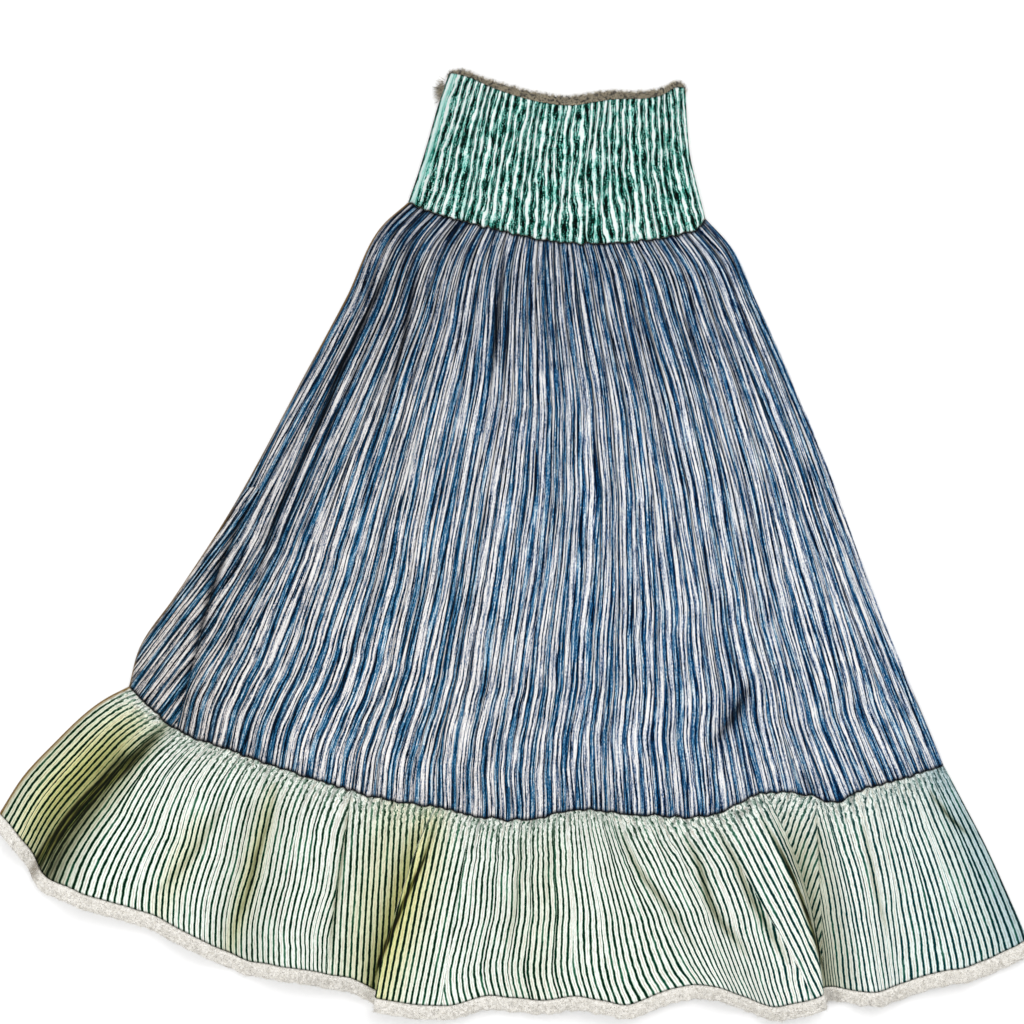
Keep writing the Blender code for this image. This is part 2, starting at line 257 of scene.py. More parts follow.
def ease(value: Array | float, low: float, high: float) -> Array:
    """Rise smoothly from 0 at the low value to 1 at the high one."""
    share = np.clip((value - low) / (high - low), 0.0, 1.0)
    return share * share * (3 - 2 * share)


class Wander:
    """Smooth unevenness over a plane, the sum of a few seeded waves, mostly between -1 and 1."""

    def __init__(self, seed: int, across: float, down: float, waves: int = 7) -> None:
        """Draw the waves.

        Args:
            seed: What the draw starts from.
            across: Typical length of a wave across.
            down: Typical length of a wave down.
            waves: How many waves are summed.
        """
        draw = np.random.default_rng(seed)
        self.turns_across = draw.uniform(0.4, 1.3, waves) * draw.choice([-1, 1], waves) * 2 * np.pi / across
        self.turns_down = draw.uniform(-1.2, 1.2, waves) * 2 * np.pi / down
        self.phases = draw.uniform(0, 2 * np.pi, waves)

    def at(self, across: Array, down: Array) -> Array:
        """Give the unevenness at places across and down."""
        total = 0.0
        for turn_across, turn_down, phase in zip(self.turns_across, self.turns_down, self.phases):
            total = total + np.sin(turn_across * across + turn_down * down + phase)
        return total / np.sqrt(2.0 * len(self.phases))


def line_through(points: Sequence[Point]) -> Line:
    """Make a smooth line through points.

    Args:
        points: Places that the line passes, in order.

    Returns:
        A function that gives the line's places at shares of its length.
    """
    knots = np.array(points, dtype=float)
    spans = np.hypot(*np.diff(knots, axis=0).T)[:, None]
    slopes = np.diff(knots, axis=0) / spans
    middle = (slopes[1:] * spans[:-1] + slopes[:-1] * spans[1:]) / (spans[:-1] + spans[1:])
    slopes = np.vstack([slopes[:1], middle, slopes[-1:]])
    step = np.linspace(0, 1, 24, endpoint=False)[:, None]
    rise = step * step * (3 - 2 * step)
    leave = step * (1 - step) ** 2
    arrive = step * step * (step - 1)
    pieces = [
        blend(knots[k], knots[k + 1], rise) + spans[k] * (leave * slopes[k] + arrive * slopes[k + 1])
        for k in range(len(knots) - 1)
    ]
    dense = np.vstack(pieces + [knots[-1:]])
    run = np.concatenate([[0.0], np.cumsum(np.hypot(*np.diff(dense, axis=0).T))])
    shares = run / run[-1]

    def at(share: Array) -> Array:
        """Give the places at shares of the line's length."""
        return np.stack([np.interp(share, shares, dense[:, axis]) for axis in (0, 1)], axis=-1)

    return at


def uneven_line(line: Line, height: float, length: float, seed: int) -> Line:
    """Make a line that wavers up and down about another one.

    Args:
        line: The even line.
        height: How far the line wavers.
        length: Typical share of the line's length from wave to wave.
        seed: What the unevenness is drawn from.

    Returns:
        The uneven line, whose ends stay where they are.
    """
    waver = Wander(seed, length, 1.0)

    def at(share: Array) -> Array:
        """Give the places at shares of the line's length."""
        share = np.asarray(share, dtype=float)
        ends = ease(share, 0.0, 0.03) * ease(1 - share, 0.0, 0.03)
        lift = height * ends * waver.at(share, 0.0 * share)
        return line(share) + np.stack([0.0 * share, lift], axis=-1)

    return at


def lowered_line(line: Line, drop: float, spread: float) -> Line:
    """Make a line moved down the skirt, and out to the sides towards its two ends.

    Args:
        line: The line above.
        drop: How far down it moves.
        spread: How far its ends move apart.

    Returns:
        The lowered line.
    """

    def at(share: Array) -> Array:
        """Give the places at shares of the line's length."""
        apart = spread * (2 * np.asarray(share, dtype=float) - 1)
        return line(share) + np.stack([apart, np.full_like(apart, -drop)], axis=-1)

    return at


class Tier:
    """The plan of one tier between its top line, bottom line and two side edges."""

    def __init__(self, top: Line, bottom: Line, left: Sequence[Point], right: Sequence[Point]) -> None:
        """Join the side edges to the ends of the two lines."""
        self.top = top
        self.bottom = bottom
        self.left = line_through([top(0.0), *left, bottom(0.0)])
        self.right = line_through([top(1.0), *right, bottom(1.0)])

    def plan(self, across: Array, down: Array) -> Array:
        """Give the place on the table of points at shares across and down the tier."""
        share_across = across[..., None]
        share_down = down[..., None]
        lines = blend(self.top(across), self.bottom(across), share_down)
        sides = blend(self.left(down), self.right(down), share_across)
        top_chord = blend(self.top(0.0), self.top(1.0), share_across)
        bottom_chord = blend(self.bottom(0.0), self.bottom(1.0), share_across)
        return lines + sides - blend(top_chord, bottom_chord, share_down)

    def width(self, down: Array) -> Array:
        """Give the tier's width at shares down it."""
        return np.hypot(*np.moveaxis(self.right(down) - self.left(down), -1, 0))

    def depth(self, across: Array) -> Array:
        """Give the tier's depth at shares across it."""
        return np.hypot(*np.moveaxis(self.bottom(across) - self.top(across), -1, 0))

    def inset_plan(self, across: Array, down: Array, side_inset: float) -> Array:
        """Give the plan drawn in at its sides, and at its seams by half the seam gap."""
        side = side_inset / self.width(down)
        end = 0.5 * SEAM_GAP / self.depth(across)
        return self.plan(blend(side, 1 - side, across), blend(end, 1 - end, down))

    def outline(self) -> Array:
        """Give the lowest and highest corner of the tier on the table."""
        across, down = np.meshgrid(np.linspace(0, 1, 241), np.linspace(0, 1, 61))
        places = self.plan(across, down).reshape(-1, 2)
        return np.array([places.min(axis=0), places.max(axis=0)])


def share_of(line: Line, across: Sequence[float]) -> Array:
    """Find the shares of a line's length at which it reaches places across the skirt."""
    shares = np.linspace(0, 1, 2001)
    return np.interp(across, line(shares)[:, 0], shares)


class FoldMap:
    """The large folds of a tier, along which its columns of points run."""

    def __init__(self, folds: Sequence[Fold], top: Line, bottom: Line) -> None:
        """Find where each fold line starts and ends.

        Args:
            folds: The fold lines from left to right.
            top: The tier's top line.
            bottom: The tier's bottom line.
        """
        self.above = share_of(top, [fold.above for fold in folds])
        self.below = share_of(bottom, [fold.below for fold in folds])
        self.stations = 0.5 * (self.above + self.below)
        self.lifts = np.array([fold.lift for fold in folds], dtype=float)
        self.leans = np.array([fold.lean for fold in folds], dtype=float)
        self.shades = np.array([fold.shade for fold in folds], dtype=float)
        self.bows = np.array([fold.bow for fold in folds], dtype=float)

    def across(self, station: Array, down: Array) -> Array:
        """Give the share across the tier of a fold line's station at a share down it."""
        starts = np.interp(station, self.stations, self.above)
        ends = np.interp(station, self.stations, self.below)
        return blend(starts, ends, down)

    def smooth(self, values: Array, station: Array) -> Array:
        """Give a value of the folds at a station, turning softly at crests and hollows."""
        span = np.clip(np.searchsorted(self.stations, station, side="right") - 1, 0, len(values) - 2)
        start = self.stations[span]
        share = np.clip((station - start) / (self.stations[span + 1] - start), 0, 1)
        return blend(values[span], values[span + 1], 0.5 - 0.5 * np.cos(np.pi * share))


def near_path(places: Array, path: Sequence[Point], width: float) -> Array:
    """Tell how near places lie to a path.

    Args:
        places: Places on the table.
        path: The path's points.
        width: Distance from the path at which the nearness has fallen to about a third.

    Returns:
        1 on the path, falling to 0 away from it and towards its two ends.
    """
    line = line_through(path)
    shares = np.linspace(0, 1, 15)
    knots = line(shares)
    nearest = np.full(places.shape[:2], np.inf)
    along = np.zeros(places.shape[:2])
    for k in range(len(knots) - 1):
        span = knots[k + 1] - knots[k]
        share = np.clip(((places - knots[k]) @ span) / (span @ span), 0, 1)
        gap = np.hypot(*np.moveaxis(places - knots[k] - share[..., None] * span, -1, 0))
        closer = gap < nearest
        nearest = np.where(closer, gap, nearest)
        along = np.where(closer, blend(shares[k], shares[k + 1], share), along)
    taper = np.sqrt(np.clip(4 * along * (1 - along), 0.0, 1.0))
    return np.exp(-((nearest / (width * blend(0.5, 1.0, taper))) ** 2)) * taper


@dataclass
class Gathers:
    """Cloth drawn into cells between crevices that hide part of it, some of which open out on the way down.

    A column of points runs down each cell's sides and between them, so that a crevice is a line of the mesh.
    """

    cells: int
    columns_each: int
    cloth: float
    seed: int
    least_reach: float = 0.25
    crevice: float = 1.8
    widths: Array = field(init=False)
    reach: Array = field(init=False)

    def __post_init__(self) -> None:
        """Draw the width of each cell's cloth and how far down its crevice reaches."""
        draw = np.random.default_rng(self.seed)
        widths = draw.uniform(0.55, 1.45, self.cells)
        self.widths = self.cloth * widths / widths.sum()
        self.reach = draw.uniform(self.least_reach, 1.15, self.cells)

    def columns(self) -> int:
        """Give how many columns of faces the cells need."""
        return self.cells * self.columns_each

    def draw_in(self, down: Array, width: Array, packing: Array) -> GatheredRows:
        """Lay the cloth out in rows.

        Args:
            down: Share down the tier of each row.
            width: Width of the tier at each row.
            packing: How much cloth shows on each unit of that width, at each row.

        Returns:
            The columns' places, cloth coordinates and crevices.
        """
        fading = np.clip(1 - down[:, None] / self.reach, 0, 1) ** 0.8 * self.widths + 1e-6
        wanted = np.clip(self.cloth - width * packing, 0, None)
        hidden = wanted[:, None] * fading / fading.sum(axis=1, keepdims=True)
        hidden = np.minimum(hidden, 0.85 * self.widths)
        shown = self.widths - hidden
        edges = np.pad(np.cumsum(shown, axis=1), ((0, 0), (1, 0)))
        edges = edges / edges[:, -1:]
        starts = np.pad(np.cumsum(self.widths), (1, 0))[:-1] + 0.5 * hidden
        cell = np.repeat(np.arange(self.cells), self.columns_each)
        share = np.tile(np.arange(self.columns_each) / self.columns_each, self.cells)
        step = 1.0 / self.columns_each
        left = starts[:, cell] + share * shown[:, cell]
        right = starts[:, cell] + (share + step) * shown[:, cell]
        stations = blend(edges[:, cell], edges[:, cell + 1], share)
        stations = np.concatenate([stations, np.ones((len(down), 1))], axis=1)
        last_cell = np.append(cell, self.cells - 1)
        last_share = np.append(share, 1.0)
        cell_width = (np.diff(edges, axis=1) * width[:, None])[:, last_cell]
        side = np.pad(0.5 * hidden, ((0, 0), (1, 0))) + np.pad(0.5 * hidden, ((0, 0), (0, 1)))
        size = np.pad(0.5 * self.widths, (1, 0)) + np.pad(0.5 * self.widths, (0, 1))
        depth = np.sqrt(np.clip(side / (0.5 * size), 0, 1))
        depth[:, [0, -1]] = 0.0
        near_left = depth[:, last_cell] * np.exp(-last_share * cell_width / self.crevice)
        near_right = depth[:, last_cell + 1] * np.exp(-(1 - last_share) * cell_width / self.crevice)
        place = np.concatenate([left, right[:, -1:]], axis=1)
        return GatheredRows(stations, left, right, place, np.maximum(near_left, near_right))


class GatheredRows(NamedTuple):
    """Rows of gathered cloth: each column's station, its faces' cloth coordinates, its own, and its crevice."""

    stations: Array
    left: Array
    right: Array
    place: Array
    groove: Array


def spread_rows(rows: int, crowd: float) -> Array:
    """Give shares down a tier for its rows, closer together at both ends.

    Args:
        rows: How many rows of faces there are.
        crowd: 0 for even rows, up to 1 for rows that crowd most at the ends.

    Returns:
        Shares from 0 to 1.
    """
    even = np.linspace(0, 1, rows + 1)
    return blend(even, 0.5 - 0.5 * np.cos(np.pi * even), crowd)


class ClothMesh:
    """A sheet of cloth made from a grid whose rows run down the tier, then given its thickness."""

    def __init__(self, name: str, rows: int, columns: int) -> None:
        """Add a plain grid of faces.

        Args:
            name: The piece's name.
            rows: Rows of faces.
            columns: Columns of faces.
        """
        bpy.ops.object.select_all(action="DESELECT")
        bpy.ops.mesh.primitive_grid_add(x_subdivisions=columns, y_subdivisions=rows, size=1.0)
        self.piece = bpy.context.object
        self.piece.name = name
        self.piece.data.name = name
        mesh = self.piece.data
        flat = np.empty(len(mesh.vertices) * 3)
        mesh.vertices.foreach_get("co", flat)
        flat = flat.reshape(-1, 3)
        self.column = np.rint((flat[:, 0] + 0.5) * columns).astype(int)
        self.row = np.rint((0.5 - flat[:, 1]) * rows).astype(int)

    def place(self, points: Array) -> None:
        """Move the grid's points to rows and columns of places in millimetres."""
        moved = points[self.row, self.column] * METRES_PER_MM
        self.piece.data.vertices.foreach_set("co", moved.ravel())
        self.piece.data.update()

    def mark(self, name: str, values: Array) -> None:
        """Keep a number for each point as an attribute that the finish reads."""
        kept = self.piece.data.attributes.new(name, "FLOAT", "POINT")
        kept.data.foreach_set("value", values[self.row, self.column].astype(np.float32))

    def unroll(self, left: Array, right: Array, down: Array) -> None:
        """Give each face corner its place on the cloth, in millimetres, as the piece's UV map.

        Args:
            left: Place across the cloth of each column of faces' left side, at each row of points.
            right: The same for its right side.
            down: Place down the cloth of each point.
        """
        mesh = self.piece.data
        corners = np.empty(len(mesh.loops), dtype=np.int32)
        mesh.loops.foreach_get("vertex_index", corners)
        row = self.row[corners].reshape(-1, 4)
        column = self.column[corners].reshape(-1, 4)
        face = column.min(axis=1, keepdims=True)
        face = np.repeat(face, 4, axis=1)
        across = np.where(column == face, left[row, face], right[row, face])
        places = np.stack([across, down[row, column]], axis=-1).astype(np.float32)
        while mesh.uv_layers:
            mesh.uv_layers.remove(mesh.uv_layers[0])
        mesh.uv_layers.new(name="cloth").data.foreach_set("uv", places.ravel())

    def thicken(self, thickness: float) -> bpy.types.Object:
        """Give the sheet its thickness below, smooth its shading and return the piece."""
        bpy.ops.object.select_all(action="DESELECT")
        self.piece.select_set(True)
        bpy.context.view_layer.objects.active = self.piece
        wall = self.piece.modifiers.new("thickness", "SOLIDIFY")
        wall.thickness = thickness * METRES_PER_MM
        wall.offset = -1.0
        bpy.ops.object.modifier_apply(modifier=wall.name)
        bpy.ops.object.shade_smooth()
        return self.piece


def finish_piece(piece: bpy.types.Object, material: bpy.types.Material) -> None:
    """Dress a piece and let it ride on the skirt."""
    piece.data.materials.clear()
    piece.data.materials.append(material)
    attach(piece, BODY_NAME)


class Value:
    """A number that changes over a surface. Python's operators on it add Math nodes."""

    def __init__(self, painter: Painter, socket: bpy.types.NodeSocket) -> None:
        """Wrap a socket."""
        self.painter = painter
        self.socket = socket

    def _math(self, operation: str, *others: Value | float) -> Value:
        """Add a Math node on this value and others."""
        inputs = dict(enumerate((self, *others)))
        node = self.painter.node("ShaderNodeMath", {"operation": operation}, inputs)
        return Value(self.painter, node.outputs[0])

    def _reflected(self, operation: str, other: float) -> Value:
        """Add a Math node with a number before this value."""
        node = self.painter.node("ShaderNodeMath", {"operation": operation}, {0: other, 1: self})
        return Value(self.painter, node.outputs[0])

    def __add__(self, other: Value | float) -> Value:
        """Add."""
        return self._math("ADD", other)

    def __radd__(self, other: float) -> Value:
        """Add to a number."""
        return self._math("ADD", other)

    def __sub__(self, other: Value | float) -> Value:
        """Subtract."""
        return self._math("SUBTRACT", other)

    def __rsub__(self, other: float) -> Value:
        """Subtract from a number."""
        return self._reflected("SUBTRACT", other)

    def __mul__(self, other: Value | float) -> Value:
        """Multiply."""
        return self._math("MULTIPLY", other)

    def __rmul__(self, other: float) -> Value:
        """Multiply a number."""
        return self._math("MULTIPLY", other)

    def __truediv__(self, other: Value | float) -> Value:
        """Divide."""
        return self._math("DIVIDE", other)

    def __abs__(self) -> Value:
        """Drop the sign."""
        return self._math("ABSOLUTE")

    def __pow__(self, power: float) -> Value:
        """Raise to a power."""
        return self._math("POWER", power)

    def part(self) -> Value:
        """Keep what is left after the whole number below."""
        return self._math("FRACT")

    def whole(self) -> Value:
        """Keep the whole number below."""
        return self._math("FLOOR")

    def sine(self) -> Value:
        """Give the sine of a whole turn times this value."""
        return (self * (2 * np.pi))._math("SINE")

    def at_least(self, other: Value | float) -> Value:
        """Give the larger of two values."""
        return self._math("MAXIMUM", other)

    def at_most(self, other: Value | float) -> Value:
        """Give the smaller of two values."""
        return self._math("MINIMUM", other)

    def rise(self, low: Value | float, high: Value | float) -> Value:
        """Rise smoothly from 0 at the low value to 1 at the high one."""
        sockets = {"Value": self, "From Min": low, "From Max": high}
        node = self.painter.node("ShaderNodeMapRange", {"interpolation_type": "SMOOTHSTEP"}, sockets)
        return Value(self.painter, node.outputs["Result"])


class Painter:
    """Makes one material, node by node."""

    def __init__(self, name: str) -> None:
        """Start a material that holds a Principled shader."""
        self.material = bpy.data.materials.new(name)
        self.material.use_nodes = True
        self.tree = self.material.node_tree
        self.shader = self.tree.nodes["Principled BSDF"]

    def connect(self, target: bpy.types.NodeSocket, source: object) -> None:
        """Set a socket to a plain value, or link it to a value or another socket."""
        if isinstance(source, Value):
            self.tree.links.new(source.socket, target)
        elif isinstance(source, bpy.types.NodeSocket):
            self.tree.links.new(source, target)
        elif isinstance(source, tuple) and len(source) == 3 and target.type == "RGBA":
            target.default_value = (*source, 1.0)
        else:
            target.default_value = source

    def node(self, kind: str, settings: dict[str, object], sockets: dict[object, object]) -> bpy.types.Node:
        """Add a node.

        Args:
            kind: The node's type.
            settings: Its own settings, which are set first.
            sockets: The values or links of its sockets, by name or place.

        Returns:
            The new node.
        """
        made = self.tree.nodes.new(kind)
        for setting, value in settings.items():
            setattr(made, setting, value)
        for socket, source in sockets.items():
            self.connect(made.inputs[socket], source)
        return made

    def ramp(self, value: Value, stops: Sequence[tuple[float, Colour]]) -> bpy.types.NodeSocket:
        """Turn a value into a colour.

        Args:
            value: What is looked up.
            stops: Places along the ramp and their colours.

        Returns:
            The colour's socket.
        """
        made = self.node("ShaderNodeValToRGB", {}, {"Fac": value})
        elements = made.color_ramp.elements
        while len(elements) > 1:
            elements.remove(elements[-1])
        for place, (position, colour) in enumerate(stops):
            stop = elements[0] if place == 0 else elements.new(position)
            stop.position = position
            stop.color = (*colour, 1.0)
        return made.outputs["Color"]

    def mix(self, share: Value | float, first: object, second: object, way: str = "MIX") -> bpy.types.NodeSocket:
        """Blend two colours by a share, plainly or by another way of Blender's Mix node."""
        made = self.tree.nodes.new("ShaderNodeMix")
        made.data_type = "RGBA"
        made.blend_type = way
        made.clamp_factor = True
        colours = [socket for socket in made.inputs if socket.type == "RGBA"]
        self.connect(made.inputs[0], share)
        self.connect(colours[0], first)
        self.connect(colours[1], second)
        return next(socket for socket in made.outputs if socket.type == "RGBA")

    def cloth(self) -> tuple[Value, Value]:
        """Give the place across and down the cloth, in millimetres, from the piece's UV map."""
        place = self.node("ShaderNodeUVMap", {"uv_map": "cloth"}, {})
        parts = self.node("ShaderNodeSeparateXYZ", {}, {0: place.outputs[0]})
        return Value(self, parts.outputs[0]), Value(self, parts.outputs[1])

    def object_place(self) -> tuple[Value, Value, Value]:
        """Give the place on the object along X, Y and Z, in metres."""
        place = self.node("ShaderNodeTexCoord", {}, {})
        parts = self.node("ShaderNodeSeparateXYZ", {}, {0: place.outputs["Object"]})
        return Value(self, parts.outputs[0]), Value(self, parts.outputs[1]), Value(self, parts.outputs[2])

    def marked(self, name: str) -> Value:
        """Give a number that the mesh keeps for each point."""
        return Value(self, self.node("ShaderNodeAttribute", {"attribute_name": name}, {}).outputs["Fac"])

    def noise(self, across: object, down: object, layer: object, detail: float = 2.0) -> Value:
        """Give noise from about 0 to 1 at a place, one unit of which is the size of its spots."""
        place = self.node("ShaderNodeCombineXYZ", {}, {0: across, 1: down, 2: layer})
        sockets = {"Vector": place.outputs[0], "Scale": 1.0, "Detail": detail, "Roughness": 0.55}
        made = self.node("ShaderNodeTexNoise", {}, sockets)
        return (Value(self, made.outputs[0]) - 0.5) * 1.8 + 0.5

    def bump(self, height: Value, distance: float) -> bpy.types.NodeSocket:
        """Make a normal from a height from 0 to 1, which stands for a distance in metres."""
        made = self.node("ShaderNodeBump", {}, {"Strength": 1.0, "Distance": distance, "Height": height})
        return made.outputs["Normal"]

    def fix(self, **numbers: float) -> None:
        """Set sockets of the shader that are the same all over, named with _ for a space."""
        for name, number in numbers.items():
            self.connect(self.shader.inputs[name.replace("_", " ").title().replace("Ior", "IOR")], number)

    def dress(self, colour: object, roughness: object, normal: bpy.types.NodeSocket) -> bpy.types.Material:
        """Feed the shader what changes over the surface and give the material."""
        self.connect(self.shader.inputs["Base Color"], colour)
        self.connect(self.shader.inputs["Roughness"], roughness)
        self.connect(self.shader.inputs["Normal"], normal)
        return self.material


def tone(code: str) -> Colour:
    """Turn a hexadecimal sRGB colour into linear red, green and blue."""
    parts = [int(code[k : k + 2], 16) / 255 for k in (0, 2, 4)]
    linear = [part / 12.92 if part <= 0.04045 else ((part + 0.055) / 1.055) ** 2.4 for part in parts]
    return tuple(linear)


@dataclass(frozen=True)
class ShirredGreen:
    """Shirred cotton: pale ribs, mottled teal flanks and near-black lines between them, partly painted shade."""

    slot: str = "shirred_green"
    # Lightness across one rib from groove to groove: near-black in the grooves and in two dark lines, partly
    # painted shade, and pale on the crest
    profile: tuple[tuple[float, float], ...] = (
        (0.0, 0.04), (0.07, 0.3), (0.15, 0.52), (0.22, 0.36), (0.28, 0.08), (0.35, 0.5), (0.42, 0.9),
        (0.62, 0.92), (0.7, 0.62), (0.78, 0.44), (0.85, 0.14), (0.92, 0.42), (1.0, 0.04),
    )
    black: Colour = tone("020b08")

    def paint(self) -> bpy.types.Material:
        """Make the material."""
        p = Painter(self.slot)
        rib, down = p.cloth()
        sway = p.noise(rib / 1.5, down / 22, 1.0)
        broad = p.noise(rib / 1.1, down / 24, 14.0)
        streaks = p.noise(rib * 3.0, down / 17, 5.0, 3.0)
        specks = p.noise(rib * 9.0, down / 1.5, 9.0, 3.0)
        hairs = p.noise(rib * 11.0, down / 8, 21.0)
        step = (rib + (sway - 0.5) * 0.45).part()
        own = p.noise(rib.whole() * 3.3, down / 26, 17.0)
        core = (step - 0.52) * (1.8 - broad * 1.1 - own * 0.15) + 0.52
        shape = Value(p, p.ramp(core, [(place, (level, level, level)) for place, level in self.profile]))
        loose = 1.25 - shape * 0.75
        level = shape * 1.02 + ((streaks - 0.5) * 0.8 + (specks - 0.5) * 0.9 + (hairs - 0.5) * 0.8) * loose
        level = level - (0.62 - own).rise(0.0, 0.35) * shape * 0.42 + 0.03
        level = (level - 0.45) * 1.36 + 0.49
        level = level + p.marked("pale") * (0.84 - level) * 0.75
        stops = [
            (0.12, self.black), (0.19, tone("003022")), (0.3, tone("08705b")), (0.45, tone("44b3a1")),
            (0.59, tone("92ddd1")), (0.76, tone("ccefe9")), (0.97, tone("f4fbf9")),
        ]
        colour = p.ramp(level, stops)
        # Painted shade: near-black in the grooves, beside the seam and the top edge, and down the left edge
        colour = p.mix((p.marked("hollow") * (0.75 + specks * 0.6)).at_most(1.0), colour, self.black)
        colour = p.mix(p.marked("shade") * 0.7, colour, tone("2b6b5c"), "MULTIPLY")
        weave = (rib * 16).sine() * (down * 1.6).sine()
        height = level * 0.6 + specks * 0.3 + weave * 0.05
        p.fix(sheen_weight=0.02, sheen_roughness=0.5, specular_ior_level=0.04)
        return p.dress(colour, 0.78 + specks * 0.15, p.bump(height, 0.0013))


@dataclass(frozen=True)
class StripedBlue:
    """Crinkled cotton with blue stripes on a pinkish grey ground."""

    slot: str = "striped_blue"
    stripe_pitch: float = 14.0
    crinkle_pitch: float = 4.9
    deep_shade: Colour = tone("05090f")
    navy: Colour = tone("031e38")
    shadow: Colour = tone("3a4658")
    cool_light: Colour = tone("a8cef2")
    warm_light: Colour = tone("f6e6d2")
    rim_shade: Colour = tone("8a6c3e")

    def paint(self) -> bpy.types.Material:
        """Make the material."""
        p = Painter(self.slot)
        across, down = p.cloth()
        place_x, place_y, _ = p.object_place()
        cut = p.marked("cut").rise(0.48, 0.52)
        across = across * (1 - cut) + p.marked("grain") * cut
        drift = p.noise(across / 34, down / 260, 1.0, 1.0)
        sway = p.noise(across / 8, down / 120, 4.0, 1.0)
        turns = across / self.crinkle_pitch + (drift - 0.5) * 1.6 + (sway - 0.5) * 0.9
        step = turns.part()
        line = turns.whole()
        bright = p.noise(line * 3.7, down / 110, 6.0, 1.0)
        dark = p.noise(line * 5.3, down / 80, 9.0, 1.0)
        fibre = p.noise(across / 1.2, down / 46, 12.0)
        specks = p.noise(across / 0.8, down / 2.4, 15.0)
        hairs = p.noise(across / 0.62, down / 12, 18.0)
        # Painted highlights on the crinkles' crests and painted shadow lines in their folds
        crest = (1 - abs(step - 0.36).rise(0.08, 0.3)) * bright.rise(-0.2, 0.55)
        crinkle_shadow = (1 - abs(step - 0.8).rise(0.04, 0.2)) * dark.rise(0.0, 0.5)
        vein = 1 - abs(fibre - 0.42).rise(0.0, 0.08)
        shade = p.marked("shade")
        light = 0.675 + crest * 0.42 - crinkle_shadow * 0.62 + (fibre - 0.5) * 1.3 - vein * 0.25
        light = light + (specks - 0.5) * 0.8 + (hairs - 0.5) * 1.0
        # Painted shade where the shade mark lies, and painted light towards the upper right
        light = (light - 0.5) * 1.16 + 0.5 - shade * 0.3 + (place_x * 2 + place_y).rise(0.0, 0.6) * 0.07
        pale_stops = [
            (0.0, tone("000a16")), (0.14, tone("0a2c4c")), (0.28, tone("345a7c")), (0.42, tone("7189a2")),
            (0.56, tone("a2a8b5")), (0.7, tone("cbc7cb")), (0.85, tone("f2ebea")), (1.0, tone("fffdfb")),
        ]
        blue_stops = [
            (0.0, tone("000c1a")), (0.2, tone("002e50")), (0.4, tone("0e527d")), (0.6, tone("3a7aa3")),
            (0.78, tone("6ea0c0")), (0.92, tone("b4d0e2")), (1.0, tone("e6f0f5")),
        ]
        shift = p.noise(across / 60, down / 320, 24.0, 1.0)
        stripes = across / self.stripe_pitch + (shift - 0.5) * 0.9
        own = p.noise(stripes.whole() * 4.1, down / 240, 20.0, 1.0)
        away = abs(stripes.part() - 0.5) * 2
        edge = 0.4 + (own - 0.5) * 0.45 + (fibre - 0.5) * 0.1
        stripe = (1 - away.rise(edge - 0.07, edge + 0.07)) * (0.85 + own * 0.4).at_most(1.0)
        border = (1 - abs(away - edge).rise(0.02, 0.12)) * dark.rise(0.2, 0.5)
        colour = p.mix(stripe, p.ramp(light + 0.03, pale_stops), p.ramp(light * 0.76 - 0.04, blue_stops))
        colour = p.mix(border * 0.8, colour, self.navy)
        # Painted cool light to the right in the darker parts, and painted warm shade at the far left
        deep = (1.25 - light).at_most(1.0)
        cool_light = (place_x * 2.2 + place_y * 0.6).rise(-0.35, 0.35) * deep
        colour = p.mix(cool_light * 0.9, colour, self.cool_light, "MULTIPLY")
        colour = p.mix((place_x * -1.0).rise(0.22, 0.36) * deep, colour, self.warm_light, "MULTIPLY")
        # Painted shade: near-black in the gathers' grooves and beside the seams, then darker and near-black in the
        # folds and creases
        colour = p.mix((p.marked("hollow") * (0.8 + specks * 0.5)).at_most(1.0), colour, self.deep_shade)
        colour = p.mix(shade * 0.5, colour, self.shadow, "MULTIPLY")
        colour = p.mix(shade.rise(0.55, 1.0) * 0.8, colour, self.deep_shade)
        # Painted brown shade along the turned-under left edge
        colour = p.mix(p.marked("rim"), colour, self.rim_shade)
        weave = (across * 1.4).sine() * (down * 1.4).sine()
        height = light * 0.6 + specks * 0.2 + weave * 0.04
        p.fix(sheen_weight=0.02, sheen_roughness=0.5, specular_ior_level=0.04)
        return p.dress(colour, 0.8 + specks * 0.12, p.bump(height, 0.001))


